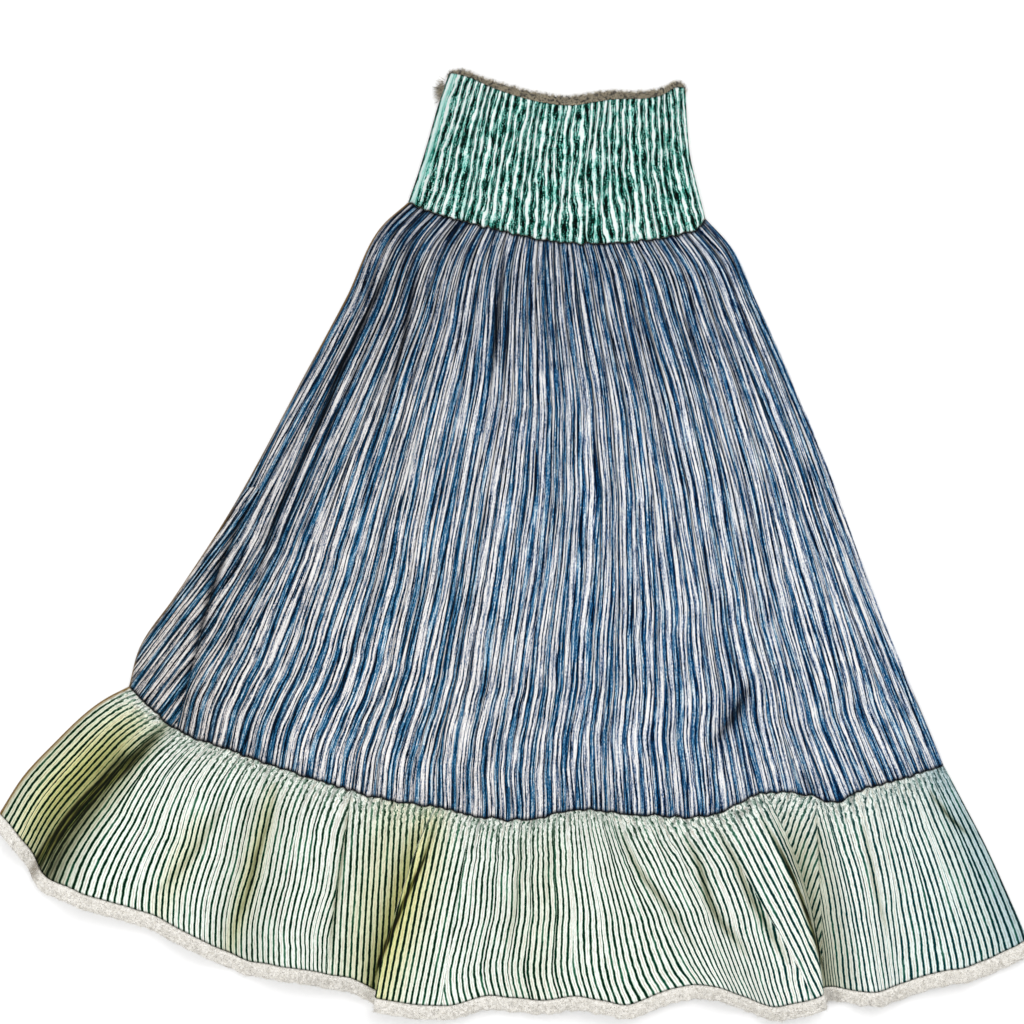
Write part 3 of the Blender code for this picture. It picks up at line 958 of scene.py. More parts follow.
@dataclass(frozen=True)
class PinstripedMint:
    """Soft white cotton with fine dark green stripes, yellow or olive where it lies in shade."""

    slot: str = "pinstriped_mint"
    pitch: float = 6.2
    ground: Colour = tone("fbfbf8")
    mint: Colour = tone("f0f4ee")
    sky: Colour = tone("e8f4fa")
    grey: Colour = tone("93ab9a")
    beige: Colour = tone("b5ac93")
    yellow: Colour = tone("ece394")
    olive: Colour = tone("8c8f5c")
    line: Colour = tone("002010")
    pale_line: Colour = tone("0c5a40")
    green: Colour = tone("6fb48c")
    teal: Colour = tone("74b2ac")
    shaded_line: Colour = tone("06120a")
    blue_line: Colour = tone("002c2e")
    blue: Colour = tone("86b2cc")
    deep_shade: Colour = tone("12140a")
    rim_shade: Colour = tone("8a6c3e")

    def paint(self) -> bpy.types.Material:
        """Make the material."""
        p = Painter(self.slot)
        across, down = p.cloth()
        place_x, _, _ = p.object_place()
        shade = p.marked("shade")
        warm_light = p.marked("warm_light")
        pucker = p.marked("pucker")
        cut = p.marked("cut").rise(0.48, 0.52)
        across = across * (1 - cut) + p.marked("grain") * cut
        waver = p.noise(across / 16, down / 60, 1.0)
        crinkle = p.noise(across / 1.8, down / 12, 4.0, 3.0)
        hairs = p.noise(across / 0.75, down / 5, 20.0)
        fade = p.noise(across / 7, down / 50, 8.0)
        specks = p.noise(across / 1.1, down / 2.8, 12.0, 3.0)
        jumble = p.noise(across / 3.6, down / 6, 16.0, 3.0)
        strip = across / self.pitch + (waver - 0.5) * 0.2 + (jumble - 0.5) * (pucker * 1.5 + 0.12)
        away = abs(strip.part() - 0.5) * 2
        half = 0.35 + (fade - 0.5) * 0.16 + (hairs - 0.5) * 0.2 + warm_light * 0.06
        broken = pucker * jumble.rise(0.25, 0.6)
        strength = (0.86 + fade * 0.4).at_most(1.0) * (1 - broken * 0.8)
        halo = (1 - away.rise(half - 0.06, half + 0.24)) * strength
        stripe = (1 - away.rise(half - 0.09, half + 0.06)) * strength
        between = away.rise(0.72, 0.95) * crinkle.rise(0.25, 0.65)
        base = p.mix(crinkle.rise(0.35, 0.65), self.mint, self.ground)
        base = p.mix(specks.rise(0.6, 0.85) * (0.3 + pucker), base, self.grey)
        base = p.mix((0.42 - hairs).rise(0.0, 0.2) * (0.45 + pucker), base, self.grey)
        base = p.mix((pucker * 0.9).at_most(1.0), base, self.mint)
        base = p.mix(between * 0.7, base, self.beige)
        # Painted cool light to the right, painted yellow light in the patches where light comes through, and
        # painted olive shade in the folds
        base = p.mix(place_x.rise(0.3, 0.58) * 0.9, base, self.sky, "MULTIPLY")
        base = p.mix((warm_light * 0.9).at_most(1.0), base, self.yellow, "MULTIPLY")
        base = p.mix((shade * 1.2).at_most(1.0), base, self.olive, "MULTIPLY")
        # Lines and halos painted bluer to the right by the cool light, and the lines painted near-black where the
        # cloth is painted yellow or shaded
        ink_line = p.mix(place_x.rise(0.1, 0.4), self.line, self.blue_line)
        ink_line = p.mix((1 - fade.rise(0.15, 0.5)) * 0.8, ink_line, self.pale_line)
        ink_line = p.mix((warm_light + shade).at_most(1.0), ink_line, self.shaded_line)
        green = p.mix(place_x.rise(0.1, 0.4), self.green, self.teal)
        colour = p.mix(halo * 0.85, base, green, "MULTIPLY")
        colour = p.mix(stripe, colour, ink_line)
        vein = (1 - abs(jumble - 0.5).rise(0.0, 0.08)) * (pucker * 1.3).at_most(1.0)
        colour = p.mix(vein * 0.75, colour, tone("35584a"))
        # Painted shade, near-black in streaks in the deepest folds and creases
        streaks = 0.4 + p.noise(across / 1.6, down / 55, 27.0).rise(0.3, 0.6) * 0.57
        colour = p.mix(shade.rise(0.4, 0.8) * streaks, colour, self.deep_shade)
        # Painted cool light, bluer along the right edge
        cool_edge_light = p.marked("cool_edge_light") * (0.3 + crinkle * 0.8).at_most(1.0)
        colour = p.mix(cool_edge_light * 0.6, colour, self.blue, "MULTIPLY")
        # Painted shade in the gathers' grooves and the puckers' troughs, beside the seam and along the hem
        colour = p.mix((p.marked("hollow") * (0.7 + specks * 0.7)).at_most(1.0), colour, self.deep_shade)
        # Painted brown shade along the left edge
        colour = p.mix(p.marked("rim"), colour, self.rim_shade)
        weave = (across * 1.4).sine() * (down * 1.4).sine()
        height = crinkle * 0.6 + specks * 0.15 + jumble * pucker * 0.9 + weave * 0.05
        p.fix(sheen_weight=0.02, sheen_roughness=0.5, specular_ior_level=0.04)
        return p.dress(colour, 0.8 + specks * 0.12, p.bump(height, 0.0009))


@dataclass(frozen=True)
class Fleece:
    """A short matted pile in two tones, with darker specks."""

    slot: str
    light: Colour
    dark: Colour
    speck_and_shade: Colour
    curl_scale: float
    tuft_scale: float

    def paint(self) -> bpy.types.Material:
        """Make the material of the ground that the strands stand on, and of the strands."""
        p = Painter(self.slot)
        x, y, z = p.object_place()
        curls = p.noise(x * self.curl_scale, y * self.curl_scale, z * self.curl_scale, 2.0)
        tufts = p.noise(x * self.tuft_scale, y * self.tuft_scale, z * self.tuft_scale, 2.0)
        colour = p.ramp(curls * 0.75 + tufts * 0.25, [(0.35, self.dark), (0.52, self.light)])
        colour = p.mix(curls.rise(0.66, 0.76) * 0.8, colour, self.speck_and_shade)
        # Painted shade, dark where the hollow mark lies, in the same colour as the specks
        colour = p.mix((p.marked("hollow") * 0.9).at_most(1.0), colour, self.speck_and_shade)
        p.fix(sheen_weight=0.3, sheen_roughness=0.6, specular_ior_level=0.1)
        return p.dress(colour, 0.9 + tufts * 0.08, p.bump(curls * 0.7 + tufts * 0.3, 0.0012))


@dataclass(frozen=True)
class PaleFloor:
    """A plain pale floor."""

    colour: Colour = (0.94, 0.94, 0.94)

    def paint(self) -> bpy.types.Material:
        """Make the material."""
        p = Painter("pale_floor")
        x, y, _ = p.object_place()
        grain = p.noise(x * 60, y * 60, 0.0)
        p.fix(specular_ior_level=0.1)
        return p.dress(self.colour, 0.85 + grain * 0.1, p.bump(grain, 0.0001))


PALE_PILE = Fleece("pale_pile", tone("fbf8f2"), tone("dfdacf"), tone("8d8475"), 800, 300)
FUZZY_LINING = Fleece("fuzzy_lining", tone("b9ad93"), tone("3a3529"), tone("14120c"), 430, 200)


@dataclass
class Table:
    """Where the plans lie on the table, and the lines that neighbouring tiers share."""

    shift: Array
    waist_seam: Line
    flounce_seam: Line
    hem: Line

    def put(self, plan: Array, height: Array) -> Array:
        """Give points over the table from a plan and heights above it."""
        return np.dstack([plan + self.shift, height])


def lay_table() -> Table:
    """Draw the shared lines and find the plans' place from the body's solid."""
    waist_seam = uneven_line(uneven_line(line_through(WAIST_SEAM), 0.9, 0.06, 3), 1.2, 0.032, 6)
    flounce_seam = uneven_line(uneven_line(line_through(FLOUNCE_SEAM), 1.1, 0.03, 4), 1.0, 0.014, 7)
    hem = uneven_line(line_through(HEM), 0.8, 0.03, 5)
    outline = Tier(waist_seam, flounce_seam, BODY_LEFT, BODY_RIGHT).outline()
    low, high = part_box("body_front")
    middle = 0.5 * np.array([low.x + high.x, low.y + high.y]) / METRES_PER_MM
    return Table(middle - outline.mean(axis=0), waist_seam, flounce_seam, hem)


def side_roll(across: Array, width: Array) -> Array:
    """Give the share of its height that cloth keeps near a tier's side edges, where it curves down."""
    gap = np.minimum(across, 1 - across) * width
    return np.sqrt(1 - (1 - np.clip(gap / SIDE_ROLL, 0, 1)) ** 2)


def seam_dip(gap: Array, reach: float, depth: float) -> Array:
    """Give the share of its height that cloth keeps at a distance from a seam."""
    return 1 - depth * np.exp(-gap / reach)


def seam_dark(gap: Array, across: Array, seed: int, wave: float, width: float = 1.2) -> Array:
    """Tell how deep the painted shade beside a seam lies, in a line of uneven width.

    Args:
        gap: Distance from the seam.
        across: Share along it.
        seed: What the unevenness is drawn from.
        wave: Typical share of the seam's length from one wide place to the next.
        width: Typical width of the dark line.

    Returns:
        1 at the seam, falling to 0.
    """
    fine = Wander(seed, wave, 1.0).at(across, 0.0 * across)
    broad = Wander(seed + 1, 6 * wave, 1.0).at(across, 0.0 * across)
    reach = width * (0.55 + 0.45 * np.clip(fine, -1, 1.5) + 1.6 * ease(broad + fine, 1.0, 2.2))
    return np.exp(-((gap / np.clip(reach, 0.25, None)) ** 1.5))


@dataclass
class Waistband:
    """The shirred waistband: a ribbed front and a back whose fuzzy inner side shows above it."""

    table: Table
    back: float = 3.0
    wall: float = 1.5
    relief: float = 2.6
    ribs: int = 36
    columns_each: int = 12
    rows: int = 92
    back_columns: int = 120
    back_rows: int = 24
    shirring_pitch: float = 8.0
    flat_front: tuple[float, float] = (0.40, 0.17)
    tuft_place: tuple[float, float] = (-72.0, 475.0)
    tuft_strands: int = 160

    def build(self) -> None:
        """Make the front and the back."""
        self.make_front()
        self.make_back()

    def make_front(self) -> None:
        """Make the ribbed front, whose ribs waver, swell and split on their way down."""
        tier = Tier(line_through(BAND_FRONT_EDGE), self.table.waist_seam, BAND_LEFT, BAND_RIGHT)
        columns = self.ribs * self.columns_each
        down = spread_rows(self.rows, 0.45)
        rib_at, row = np.meshgrid(np.linspace(0, self.ribs, columns + 1), down)
        draw = np.random.default_rng(11)
        edges = np.cumsum(np.append(0.0, draw.uniform(0.78, 1.22, self.ribs)))
        edges = edges / edges[-1]
        station = np.interp(rib_at, np.arange(self.ribs + 1), edges)
        sideways = Wander(12, 0.16, 0.55).at(station, row)
        middle = np.clip(8 * np.minimum(station, 1 - station), 0, 1)
        station = station + (0.0065 * sideways + 0.0022 * Wander(19, 0.05, 0.2).at(station, row)) * middle
        plan = tier.inset_plan(station, row, 0.0)
        share = rib_at % 1.0
        depth = tier.depth(station)
        gap_below = (1 - row) * depth
        gap_above = row * depth
        swell = 0.78 + 0.22 * Wander(13, 0.05, 0.3).at(station, row)
        hump = np.sqrt(np.clip(np.sin(np.pi * share), 0, 1))
        split = ease(Wander(14, 0.07, 0.45).at(station, row), 0.25, 0.8)
        hump = hump * (1 - 0.55 * split * np.exp(-(((share - 0.5) / 0.13) ** 2)))
        pinch = 0.9 + 0.1 * np.cos(2 * np.pi * (gap_above / self.shirring_pitch + 0.35 * sideways))
        hump = hump * swell * pinch
        base = self.back + SEAM_GAP + self.wall
        height = base + self.relief * hump
        height = height * seam_dip(gap_below, 2.5, 0.4) * seam_dip(gap_above, 1.5, 0.2)
        rolled = side_roll(station, tier.width(row))
        height = EDGE_HEIGHT + (height - EDGE_HEIGHT) * rolled
        # Painted shade in the grooves between the ribs, beside the seam and the top edge, and down the left edge
        groove = ease(1 - hump, 0.72, 1.0) * ease(np.minimum(rib_at, self.ribs - rib_at), 0.3, 0.9)
        seam = seam_dark(gap_below, station, 15, 0.03, 1.4)
        sheet = ClothMesh("waistband_front_cloth", self.rows, columns)
        sheet.place(self.table.put(plan, height))
        sheet.unroll(rib_at[:, :-1], rib_at[:, 1:], gap_above)
        edge = seam_dark(gap_above, station, 17, 0.03, 1.3)
        side = 0.8 * np.exp(-((station * tier.width(row) / 1.1) ** 2))
        sheet.mark("hollow", np.clip(0.5 * groove + 0.95 * seam + 0.85 * edge + side, 0, 1))
        sheet.mark("shade", 0.25 * ease(0.12 - station, 0.0, 0.12) + 0.15 * (1 - rolled))
        gap_left = station * tier.width(row)
        sheet.mark("pale", ease(gap_left, 1.5, 3.0) * (1 - ease(gap_left, 6.0, 10.0)))
        piece = sheet.thicken(SHELL)
        finish_piece(piece, ShirredGreen().paint())
        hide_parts("waistband_front")
        width, length = self.flat_front
        0.9 * width * length
        log.info("waistband front, %d ribs", self.ribs)

    def make_back(self) -> None:
        """Make the back, flat where it rests, with its pile along the top."""
        top = uneven_line(line_through(BAND_BACK_EDGE), 1.1, 0.035, 8)
        tier = Tier(top, self.table.waist_seam, BAND_LEFT, BAND_RIGHT)
        across, down = np.meshgrid(np.linspace(0, 1, self.back_columns + 1), spread_rows(self.back_rows, 0.5))
        plan = tier.inset_plan(across, down, SIDE_GAP)
        height = np.full_like(across, self.back)
        sheet = ClothMesh("waistband_back_cloth", self.back_rows, self.back_columns)
        sheet.place(self.table.put(plan, height))
        run = self.ribs * across
        sheet.unroll(run[:, :-1], run[:, 1:], down * tier.depth(across))
        sheet.mark("hollow", 0.0 * across)
        piece = sheet.thicken(self.back)
        material = FUZZY_LINING.paint()
        finish_piece(piece, material)
        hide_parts("waistband_back")
        pile = Pile(seed=21, length=(2.2, 4.6), width=0.5, rise=1.2)
        draw = np.random.default_rng(22)
        along = draw.uniform(0.0, 1.0, 4200)
        below = draw.uniform(-0.004, 0.05, along.size)
        roots = self.table.put(tier.plan(along, below)[None], np.full((1, along.size), self.back))[0]
        heading = np.stack([draw.normal(0, 0.45, along.size), draw.uniform(0.2, 1.0, along.size)], axis=-1)
        fuzz = pile.grow("waistband_back_pile", roots, heading)
        finish_piece(fuzz, material)
        tuft = self.grow_tuft(draw)
        finish_piece(tuft, material)
        log.info("waistband back and its pile")


    def grow_tuft(self, draw: np.random.Generator) -> bpy.types.Object:
        """Grow the loose tuft at the left end of the top edge."""
        count = self.tuft_strands
        roots = np.array(self.tuft_place) + draw.normal(0, 1.0, (count, 2)) * (1.2, 4.0) + self.table.shift
        roots = np.column_stack([roots, draw.uniform(1.0, self.back, count)])
        heading = np.stack([-np.ones(count), draw.normal(0, 0.4, count)], axis=-1)
        return Pile(seed=23, length=(4.0, 14.0), width=0.6, rise=1.5).grow("waistband_back_tuft", roots, heading)


@dataclass
class Body:
    """The gathered body of crinkled striped cotton."""

    table: Table
    back: float = 2.0
    wall: float = 1.4
    relief: float = 1.9
    ripple: float = 0.55
    ripple_pitch: float = 9.5
    rows: int = 80
    back_rows: int = 40
    gathers: Gathers = field(default_factory=lambda: Gathers(34, 16, 880.0, 31, least_reach=0.22))
    back_gathers: Gathers = field(default_factory=lambda: Gathers(34, 4, 880.0, 32, least_reach=0.22))
    corner_fold: tuple[Point, ...] = (
        Point(-351, -190), Point(-334, -124), Point(-317, -57), Point(-304, -20), Point(-291, 9), Point(-262, 59),
    )

    def build(self) -> None:
        """Make the front and the back."""
        tier = Tier(self.table.waist_seam, self.table.flounce_seam, BODY_LEFT, BODY_RIGHT)
        folds = FoldMap(BODY_FOLDS, self.table.waist_seam, self.table.flounce_seam)
        material = StripedBlue().paint()
        self.make_front(tier, folds, material)
        self.make_back(tier, folds, material)

    def make_front(self, tier: Tier, folds: FoldMap, material: bpy.types.Material) -> None:
        """Make the gathered front with its soft folds and creases."""
        down = spread_rows(self.rows, 0.5)
        packing = blend(1.2, 1.0, down)
        laid = self.gathers.draw_in(down, tier.width(down), packing)
        row = np.broadcast_to(down[:, None], laid.stations.shape)
        waver = Wander(33, 0.09, 1.2).at(laid.stations, row)
        inner = np.clip(12 * np.minimum(laid.stations, 1 - laid.stations), 0, 1)
        station = laid.stations + 0.0025 * waver * inner
        across = folds.across(station, row)
        plan = tier.inset_plan(across, row, 0.0)
        depth = tier.depth(across)
        gap_above = row * depth
        gap_below = (1 - row) * depth
        lift = folds.smooth(folds.lifts, station) * np.sqrt(np.clip(np.sin(np.pi * row), 0, 1))
        calm = blend(1.0, 0.55, row)
        turns = laid.place / self.ripple_pitch + 0.8 * Wander(34, 60.0, 0.6).at(laid.place, row)
        ripple = 0.5 - 0.5 * np.cos(2 * np.pi * turns)
        hump = (1 - laid.groove) * (1 - self.ripple * calm * (1 - ripple))
        # Troughs of the creases, and painted shade along them and the folds
        trough = 0.0 * row
        shade = folds.smooth(folds.shades, station)
        for crease in BODY_CREASES:
            near = near_path(plan, crease.path, crease.width)
            trough = trough + crease.depth * near
            shade = np.maximum(shade, crease.shade * near)
        base = self.back + SEAM_GAP + self.wall
        height = np.maximum(base + lift + self.relief * hump - trough, self.back + SEAM_GAP + SHELL)
        height = height * seam_dip(gap_above, 3.0, 0.3) * seam_dip(gap_below, 3.0, 0.3)
        rolled = side_roll(across, tier.width(row))
        height = EDGE_HEIGHT + (height - EDGE_HEIGHT) * rolled
        # Painted shade beside both seams, in lines of uneven width
        seam = seam_dark(gap_above, across, 35, 0.03, 1.0) + seam_dark(gap_below, across, 37, 0.012, 1.7)
        # Painted shade, darker towards the waist, just above the flounce seam and at the left side
        broad_shade = 0.3 * (1 - ease(row, 0.0, 0.45)) + 0.3 * np.exp(-gap_below / 16) + 0.12 * ease(0.3 - across, 0, 0.3)
        sheet = ClothMesh("body_front_cloth", self.rows, self.gathers.columns())
        sheet.place(self.table.put(plan, height))
        sheet.unroll(laid.left, laid.right, gap_above)
        # Painted shade in the gathers' grooves and beside the seams
        sheet.mark("hollow", np.clip(ease(laid.groove, 0.25, 1.0) * 0.9 + seam, 0, 1))
        sheet.mark("shade", np.clip(shade + broad_shade, 0, 1))
        # Painted brown shade along the turned-under left edge
        sheet.mark("rim", 0.9 * (1 - ease(across * tier.width(row), 0.8, 2.4)))
        cut, grain = self.corner_grain(plan)
        sheet.mark("cut", cut)
        sheet.mark("grain", grain)
        piece = sheet.thicken(SHELL)
        finish_piece(piece, material)
        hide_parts("body_front")
        log.info("body front, %d gathers", self.gathers.cells)

    def corner_grain(self, plan: Array) -> tuple[Array, Array]:
        """Find the lower left corner, where a fold cuts the stripes off and they lie aslant.

        Args:
            plan: The places of the points.

        Returns:
            A mark that is over a half inside the corner, and the stripes' own coordinate there.
        """
        x, y = np.moveaxis(plan, -1, 0)
        fold = np.array(self.corner_fold)
        inside = np.interp(y, fold[:, 1], fold[:, 0]) - x
        inside = np.minimum(inside, fold[-1, 1] - y)
        return np.clip(0.5 + 0.1 * inside, 0, 1), 0.8 * x - 0.6 * y

    def make_back(self, tier: Tier, folds: FoldMap, material: bpy.types.Material) -> None:
        """Make the back, flat where it rests."""
        down = spread_rows(self.back_rows, 0.4)
        laid = self.back_gathers.draw_in(down, tier.width(down), blend(1.2, 1.0, down))
        row = np.broadcast_to(down[:, None], laid.stations.shape)
        across = folds.across(laid.stations, row)
        plan = tier.inset_plan(across, row, SIDE_GAP)
        height = np.full_like(across, self.back)
        sheet = ClothMesh("body_back_cloth", self.back_rows, self.back_gathers.columns())
        sheet.place(self.table.put(plan, height))
        sheet.unroll(laid.left, laid.right, row * tier.depth(across))
        # Painted shade in the gathers' grooves
        sheet.mark("hollow", 0.8 * laid.groove)
        sheet.mark("shade", 0.0 * row)
        piece = sheet.thicken(self.back)
        finish_piece(piece, material)
        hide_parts("body_back")
        log.info("body back")


@dataclass
class Flounce:
    """The pinstriped flounce, puckered under its seam and standing in large folds at the hem."""

    table: Table
    back: float = 2.0
    wall: float = 1.4
    pucker: float = 2.0
    pucker_pitch: float = 8.5
    rows: int = 68
    back_rows: int = 24
    gathers: Gathers = field(default_factory=lambda: Gathers(46, 14, 1190.0, 41, least_reach=0.2))
    back_gathers: Gathers = field(default_factory=lambda: Gathers(46, 4, 1190.0, 42, least_reach=0.2))

    def build(self) -> None:
        """Make the front and the back."""
        tier = Tier(self.table.flounce_seam, self.table.hem, FLOUNCE_LEFT, FLOUNCE_RIGHT)
        folds = FoldMap(FLOUNCE_FOLDS, self.table.flounce_seam, self.table.hem)
        material = PinstripedMint().paint()
        self.make_front(tier, folds, material)
        self.make_back(tier, folds, material)

    def line_width(self, tier: Tier, down: Array) -> Array:
        """Give the length across the tier along its curved rows."""
        share = np.linspace(0, 1, 400)
        rows = [tier.plan(share, np.full_like(share, level)) for level in down]
        return np.array([np.hypot(*np.diff(row, axis=0).T).sum() for row in rows])

    def cut_grain(self, folds: FoldMap, station: Array, across: Array, down: Array) -> tuple[Array, Array]:
        """Find the parts where folds cut the stripes off.

        Args:
            folds: The flounce's folds.
            station: Each point's station.
            across: Its place across the table.
            down: Its distance below the seam.

        Returns:
            A mark that is over a half inside the parts, and the stripes' own coordinate there.
        """
        top = self.table.flounce_seam(np.interp(station, folds.stations, folds.above))[..., 0]
        cut = 0.0 * across
        grain = 0.0 * across
        deepest = 0.0 * across - 20
        for part in FLOUNCE_GRAIN:
            left = across - part.left[0] - part.left[1] * down
            right = part.right[0] + part.right[1] * down - across
            inside = np.minimum(np.minimum(top - part.first, part.last - top), np.minimum(left, right))
            grain = np.where(inside > deepest, across - part.turn * down, grain)
            deepest = np.maximum(deepest, inside)
            cut = np.maximum(cut, np.clip(0.5 + 0.1 * inside, 0, 1))
        return cut, grain

    def make_front(self, tier: Tier, folds: FoldMap, material: bpy.types.Material) -> None:
        """Make the folded front."""
        down = spread_rows(self.rows, 0.35) ** 1.15
        laid = self.gathers.draw_in(down, self.line_width(tier, down), blend(1.08, 1.0, down))
        row = np.broadcast_to(down[:, None], laid.stations.shape)
        station = laid.stations
        across = folds.across(station, row)
        plan = tier.inset_plan(across, row, 0.0)
        depth = tier.depth(across)
        gap_above = row * depth
        gap_below = (1 - row) * depth
        bow = folds.smooth(folds.bows, station) * 4 * row * (1 - row)
        plan = plan + np.dstack([folds.smooth(folds.leans, station) * row + bow, 0.0 * row])
        lift = folds.smooth(folds.lifts, station) * np.sin(0.5 * np.pi * row)
        puckered = np.exp(-gap_above / 26)
        turns = laid.place / self.pucker_pitch + 1.1 * Wander(43, 70.0, 0.5).at(laid.place, row)
        wave = 0.5 - 0.5 * np.cos(2 * np.pi * turns)
        hump = puckered * (wave + 0.4 * Wander(44, 9.0, 0.2).at(laid.place, row))
        # Troughs of the creases, and painted shade along them and the folds
        trough = 0.0 * row
        shade = folds.smooth(folds.shades, station) * ease(row, 0.0, 0.35)
        for crease in FLOUNCE_CREASES:
            near = near_path(plan, crease.path, crease.width)
            trough = trough + crease.depth * near
            shade = np.maximum(shade, crease.shade * near)
        # Painted warm light in the yellow patches and beside the knife edge
        warm_light = 0.0 * row
        for patch in FLOUNCE_WARMTH:
            warm_light = np.maximum(warm_light, patch.shade * near_path(plan, patch.path, patch.width))
        cut, grain = self.cut_grain(folds, station, plan[..., 0], gap_above)
        beside_edge = near_path(plan, EDGE_WARMTH.path, EDGE_WARMTH.width) * ease(cut, 0.45, 0.55)
        warm_light = np.maximum(warm_light, EDGE_WARMTH.shade * beside_edge * (plan[..., 0] < 0))
        base = self.back + SEAM_GAP + self.wall
        height = base + lift + self.pucker * hump - 1.2 * laid.groove - trough
        height = np.maximum(height, self.back + SEAM_GAP + SHELL)
        height = height * seam_dip(gap_above, 2.5, 0.35)
        rolled = side_roll(across, tier.width(row))
        height = EDGE_HEIGHT + (height - EDGE_HEIGHT) * rolled
        # Painted shade beside the seam, in a line of uneven width
        seam = seam_dark(gap_above, across, 45, 0.012, 0.9)
        sheet = ClothMesh("flounce_front_cloth", self.rows, self.gathers.columns())
        sheet.place(self.table.put(plan, height))
        sheet.unroll(laid.left, laid.right, gap_above)
        sheet.mark("cut", cut)
        sheet.mark("grain", grain)
        # Painted shade in the gathers' grooves and the puckers' troughs, and along the hem
        dark = 0.55 * ease(laid.groove, 0.35, 1.0) + 0.6 * puckered * ease(1 - wave, 0.8, 1.0)
        hem = 0.7 * seam_dark(gap_below, across, 47, 0.006, 0.9)
        sheet.mark("hollow", np.clip(dark + seam + hem, 0, 1))
        sheet.mark("shade", np.clip(shade, 0, 1))
        sheet.mark("warm_light", np.clip(warm_light, 0, 1))
        sheet.mark("pucker", np.clip(np.exp(-gap_above / 13), 0, 1))
        # Painted brown shade along the left edge, and painted cool light along the right edge
        sheet.mark("rim", 0.85 * (1 - ease(across * tier.width(row), 1.2, 4.0)))
        sheet.mark("cool_edge_light", 1 - ease((1 - across) * tier.width(row), 4.0, 42.0))
        piece = sheet.thicken(SHELL)
        finish_piece(piece, material)
        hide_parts("flounce_front")
        log.info("flounce front, %d folds", len(FLOUNCE_FOLDS))

    def make_back(self, tier: Tier, folds: FoldMap, material: bpy.types.Material) -> None:
        """Make the back, flat where it rests."""
        down = spread_rows(self.back_rows, 0.4)
        laid = self.back_gathers.draw_in(down, self.line_width(tier, down), blend(1.08, 1.0, down))
        row = np.broadcast_to(down[:, None], laid.stations.shape)
        across = folds.across(laid.stations, row)
        plan = tier.inset_plan(across, row, SIDE_GAP)
        gap_above = row * tier.depth(across)
        sheet = ClothMesh("flounce_back_cloth", self.back_rows, self.back_gathers.columns())
        sheet.place(self.table.put(plan, np.full_like(across, self.back)))
        sheet.unroll(laid.left, laid.right, gap_above)
        # Painted shade in the gathers' grooves
        sheet.mark("hollow", 0.6 * laid.groove)
        sheet.mark("shade", 0.0 * row)
        sheet.mark("warm_light", 0.0 * row)
        sheet.mark("pucker", np.exp(-gap_above / 13))
        piece = sheet.thicken(self.back)
        finish_piece(piece, material)
        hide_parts("flounce_back")
        log.info("flounce back")


@dataclass
class Pile:
    """Short strands of pile, each a thin tapered sliver that bends over."""

    seed: int
    length: tuple[float, float]
    width: float
    rise: float

    def model_strand(self) -> tuple[Array, list[list[int]]]:
        """Model one strand from a three-sided cone cut across its middle.

        Returns:
            Its points, from 0 at the root to 1 at the tip along Z, and its faces.
        """
        bpy.ops.object.select_all(action="DESELECT")
        bpy.ops.mesh.primitive_cone_add(vertices=3, radius1=0.5, depth=1.0, end_fill_type="NOTHING")
        strand = bpy.context.object
        bpy.ops.object.mode_set(mode="EDIT")
        bpy.ops.mesh.select_all(action="SELECT")
        bpy.ops.mesh.bisect(plane_co=(0, 0, -0.05), plane_no=(0, 0, 1))
        bpy.ops.object.mode_set(mode="OBJECT")
        points = np.array([vert.co[:] for vert in strand.data.vertices])
        points[:, 2] += 0.5
        faces = [list(face.vertices) for face in strand.data.polygons]
        bpy.data.objects.remove(strand)
        return points, faces

    def grow(self, name: str, roots: Array, heading: Array) -> bpy.types.Object:
        """Grow a strand at each root, joined in one mesh.

        Args:
            name: The piece's name.
            roots: Where the strands stand, in millimetres.
            heading: Which way each one leans over the table.

        Returns:
            The piece.
        """
        draw = np.random.default_rng(self.seed)
        points, faces = self.model_strand()
        count = len(roots)
        length = draw.uniform(*self.length, count)
        flat = heading / np.hypot(*heading.T)[:, None]
        ahead = np.column_stack([flat, np.zeros(count)])
        aside = np.column_stack([-flat[:, 1], flat[:, 0], np.zeros(count)])
        upward = np.array([0.0, 0.0, 1.0])
        curl = draw.normal(0, 0.35, count)
        lift = draw.uniform(0.15, 1.0, count) * self.rise
        along = points[None, :, 2, None]
        spot = roots[:, None, :] + along * length[:, None, None] * ahead[:, None, :]
        spot = spot + along**2 * (curl * length)[:, None, None] * aside[:, None, :]
        spot = spot + np.sin(along * 2.4) * lift[:, None, None] * upward
        spot = spot + points[None, :, 0, None] * self.width * aside[:, None, :]
        spot = spot + points[None, :, 1, None] * self.width * upward
        spot[..., 2] = np.maximum(spot[..., 2], 0.1)
        starts = np.arange(count) * len(points)
        joined = [[vert + start for vert in face] for start in starts for face in faces]
        mesh = bpy.data.meshes.new(name)
        mesh.from_pydata(spot.reshape(-1, 3) * METRES_PER_MM, [], joined)
        mesh.shade_smooth()
        shadow = mesh.attributes.new("hollow", "FLOAT", "POINT")
        shadow.data.foreach_set("value", np.zeros(len(mesh.vertices), dtype=np.float32))
        piece = bpy.data.objects.new(name, mesh)
        bpy.context.scene.collection.objects.link(piece)
        return piece


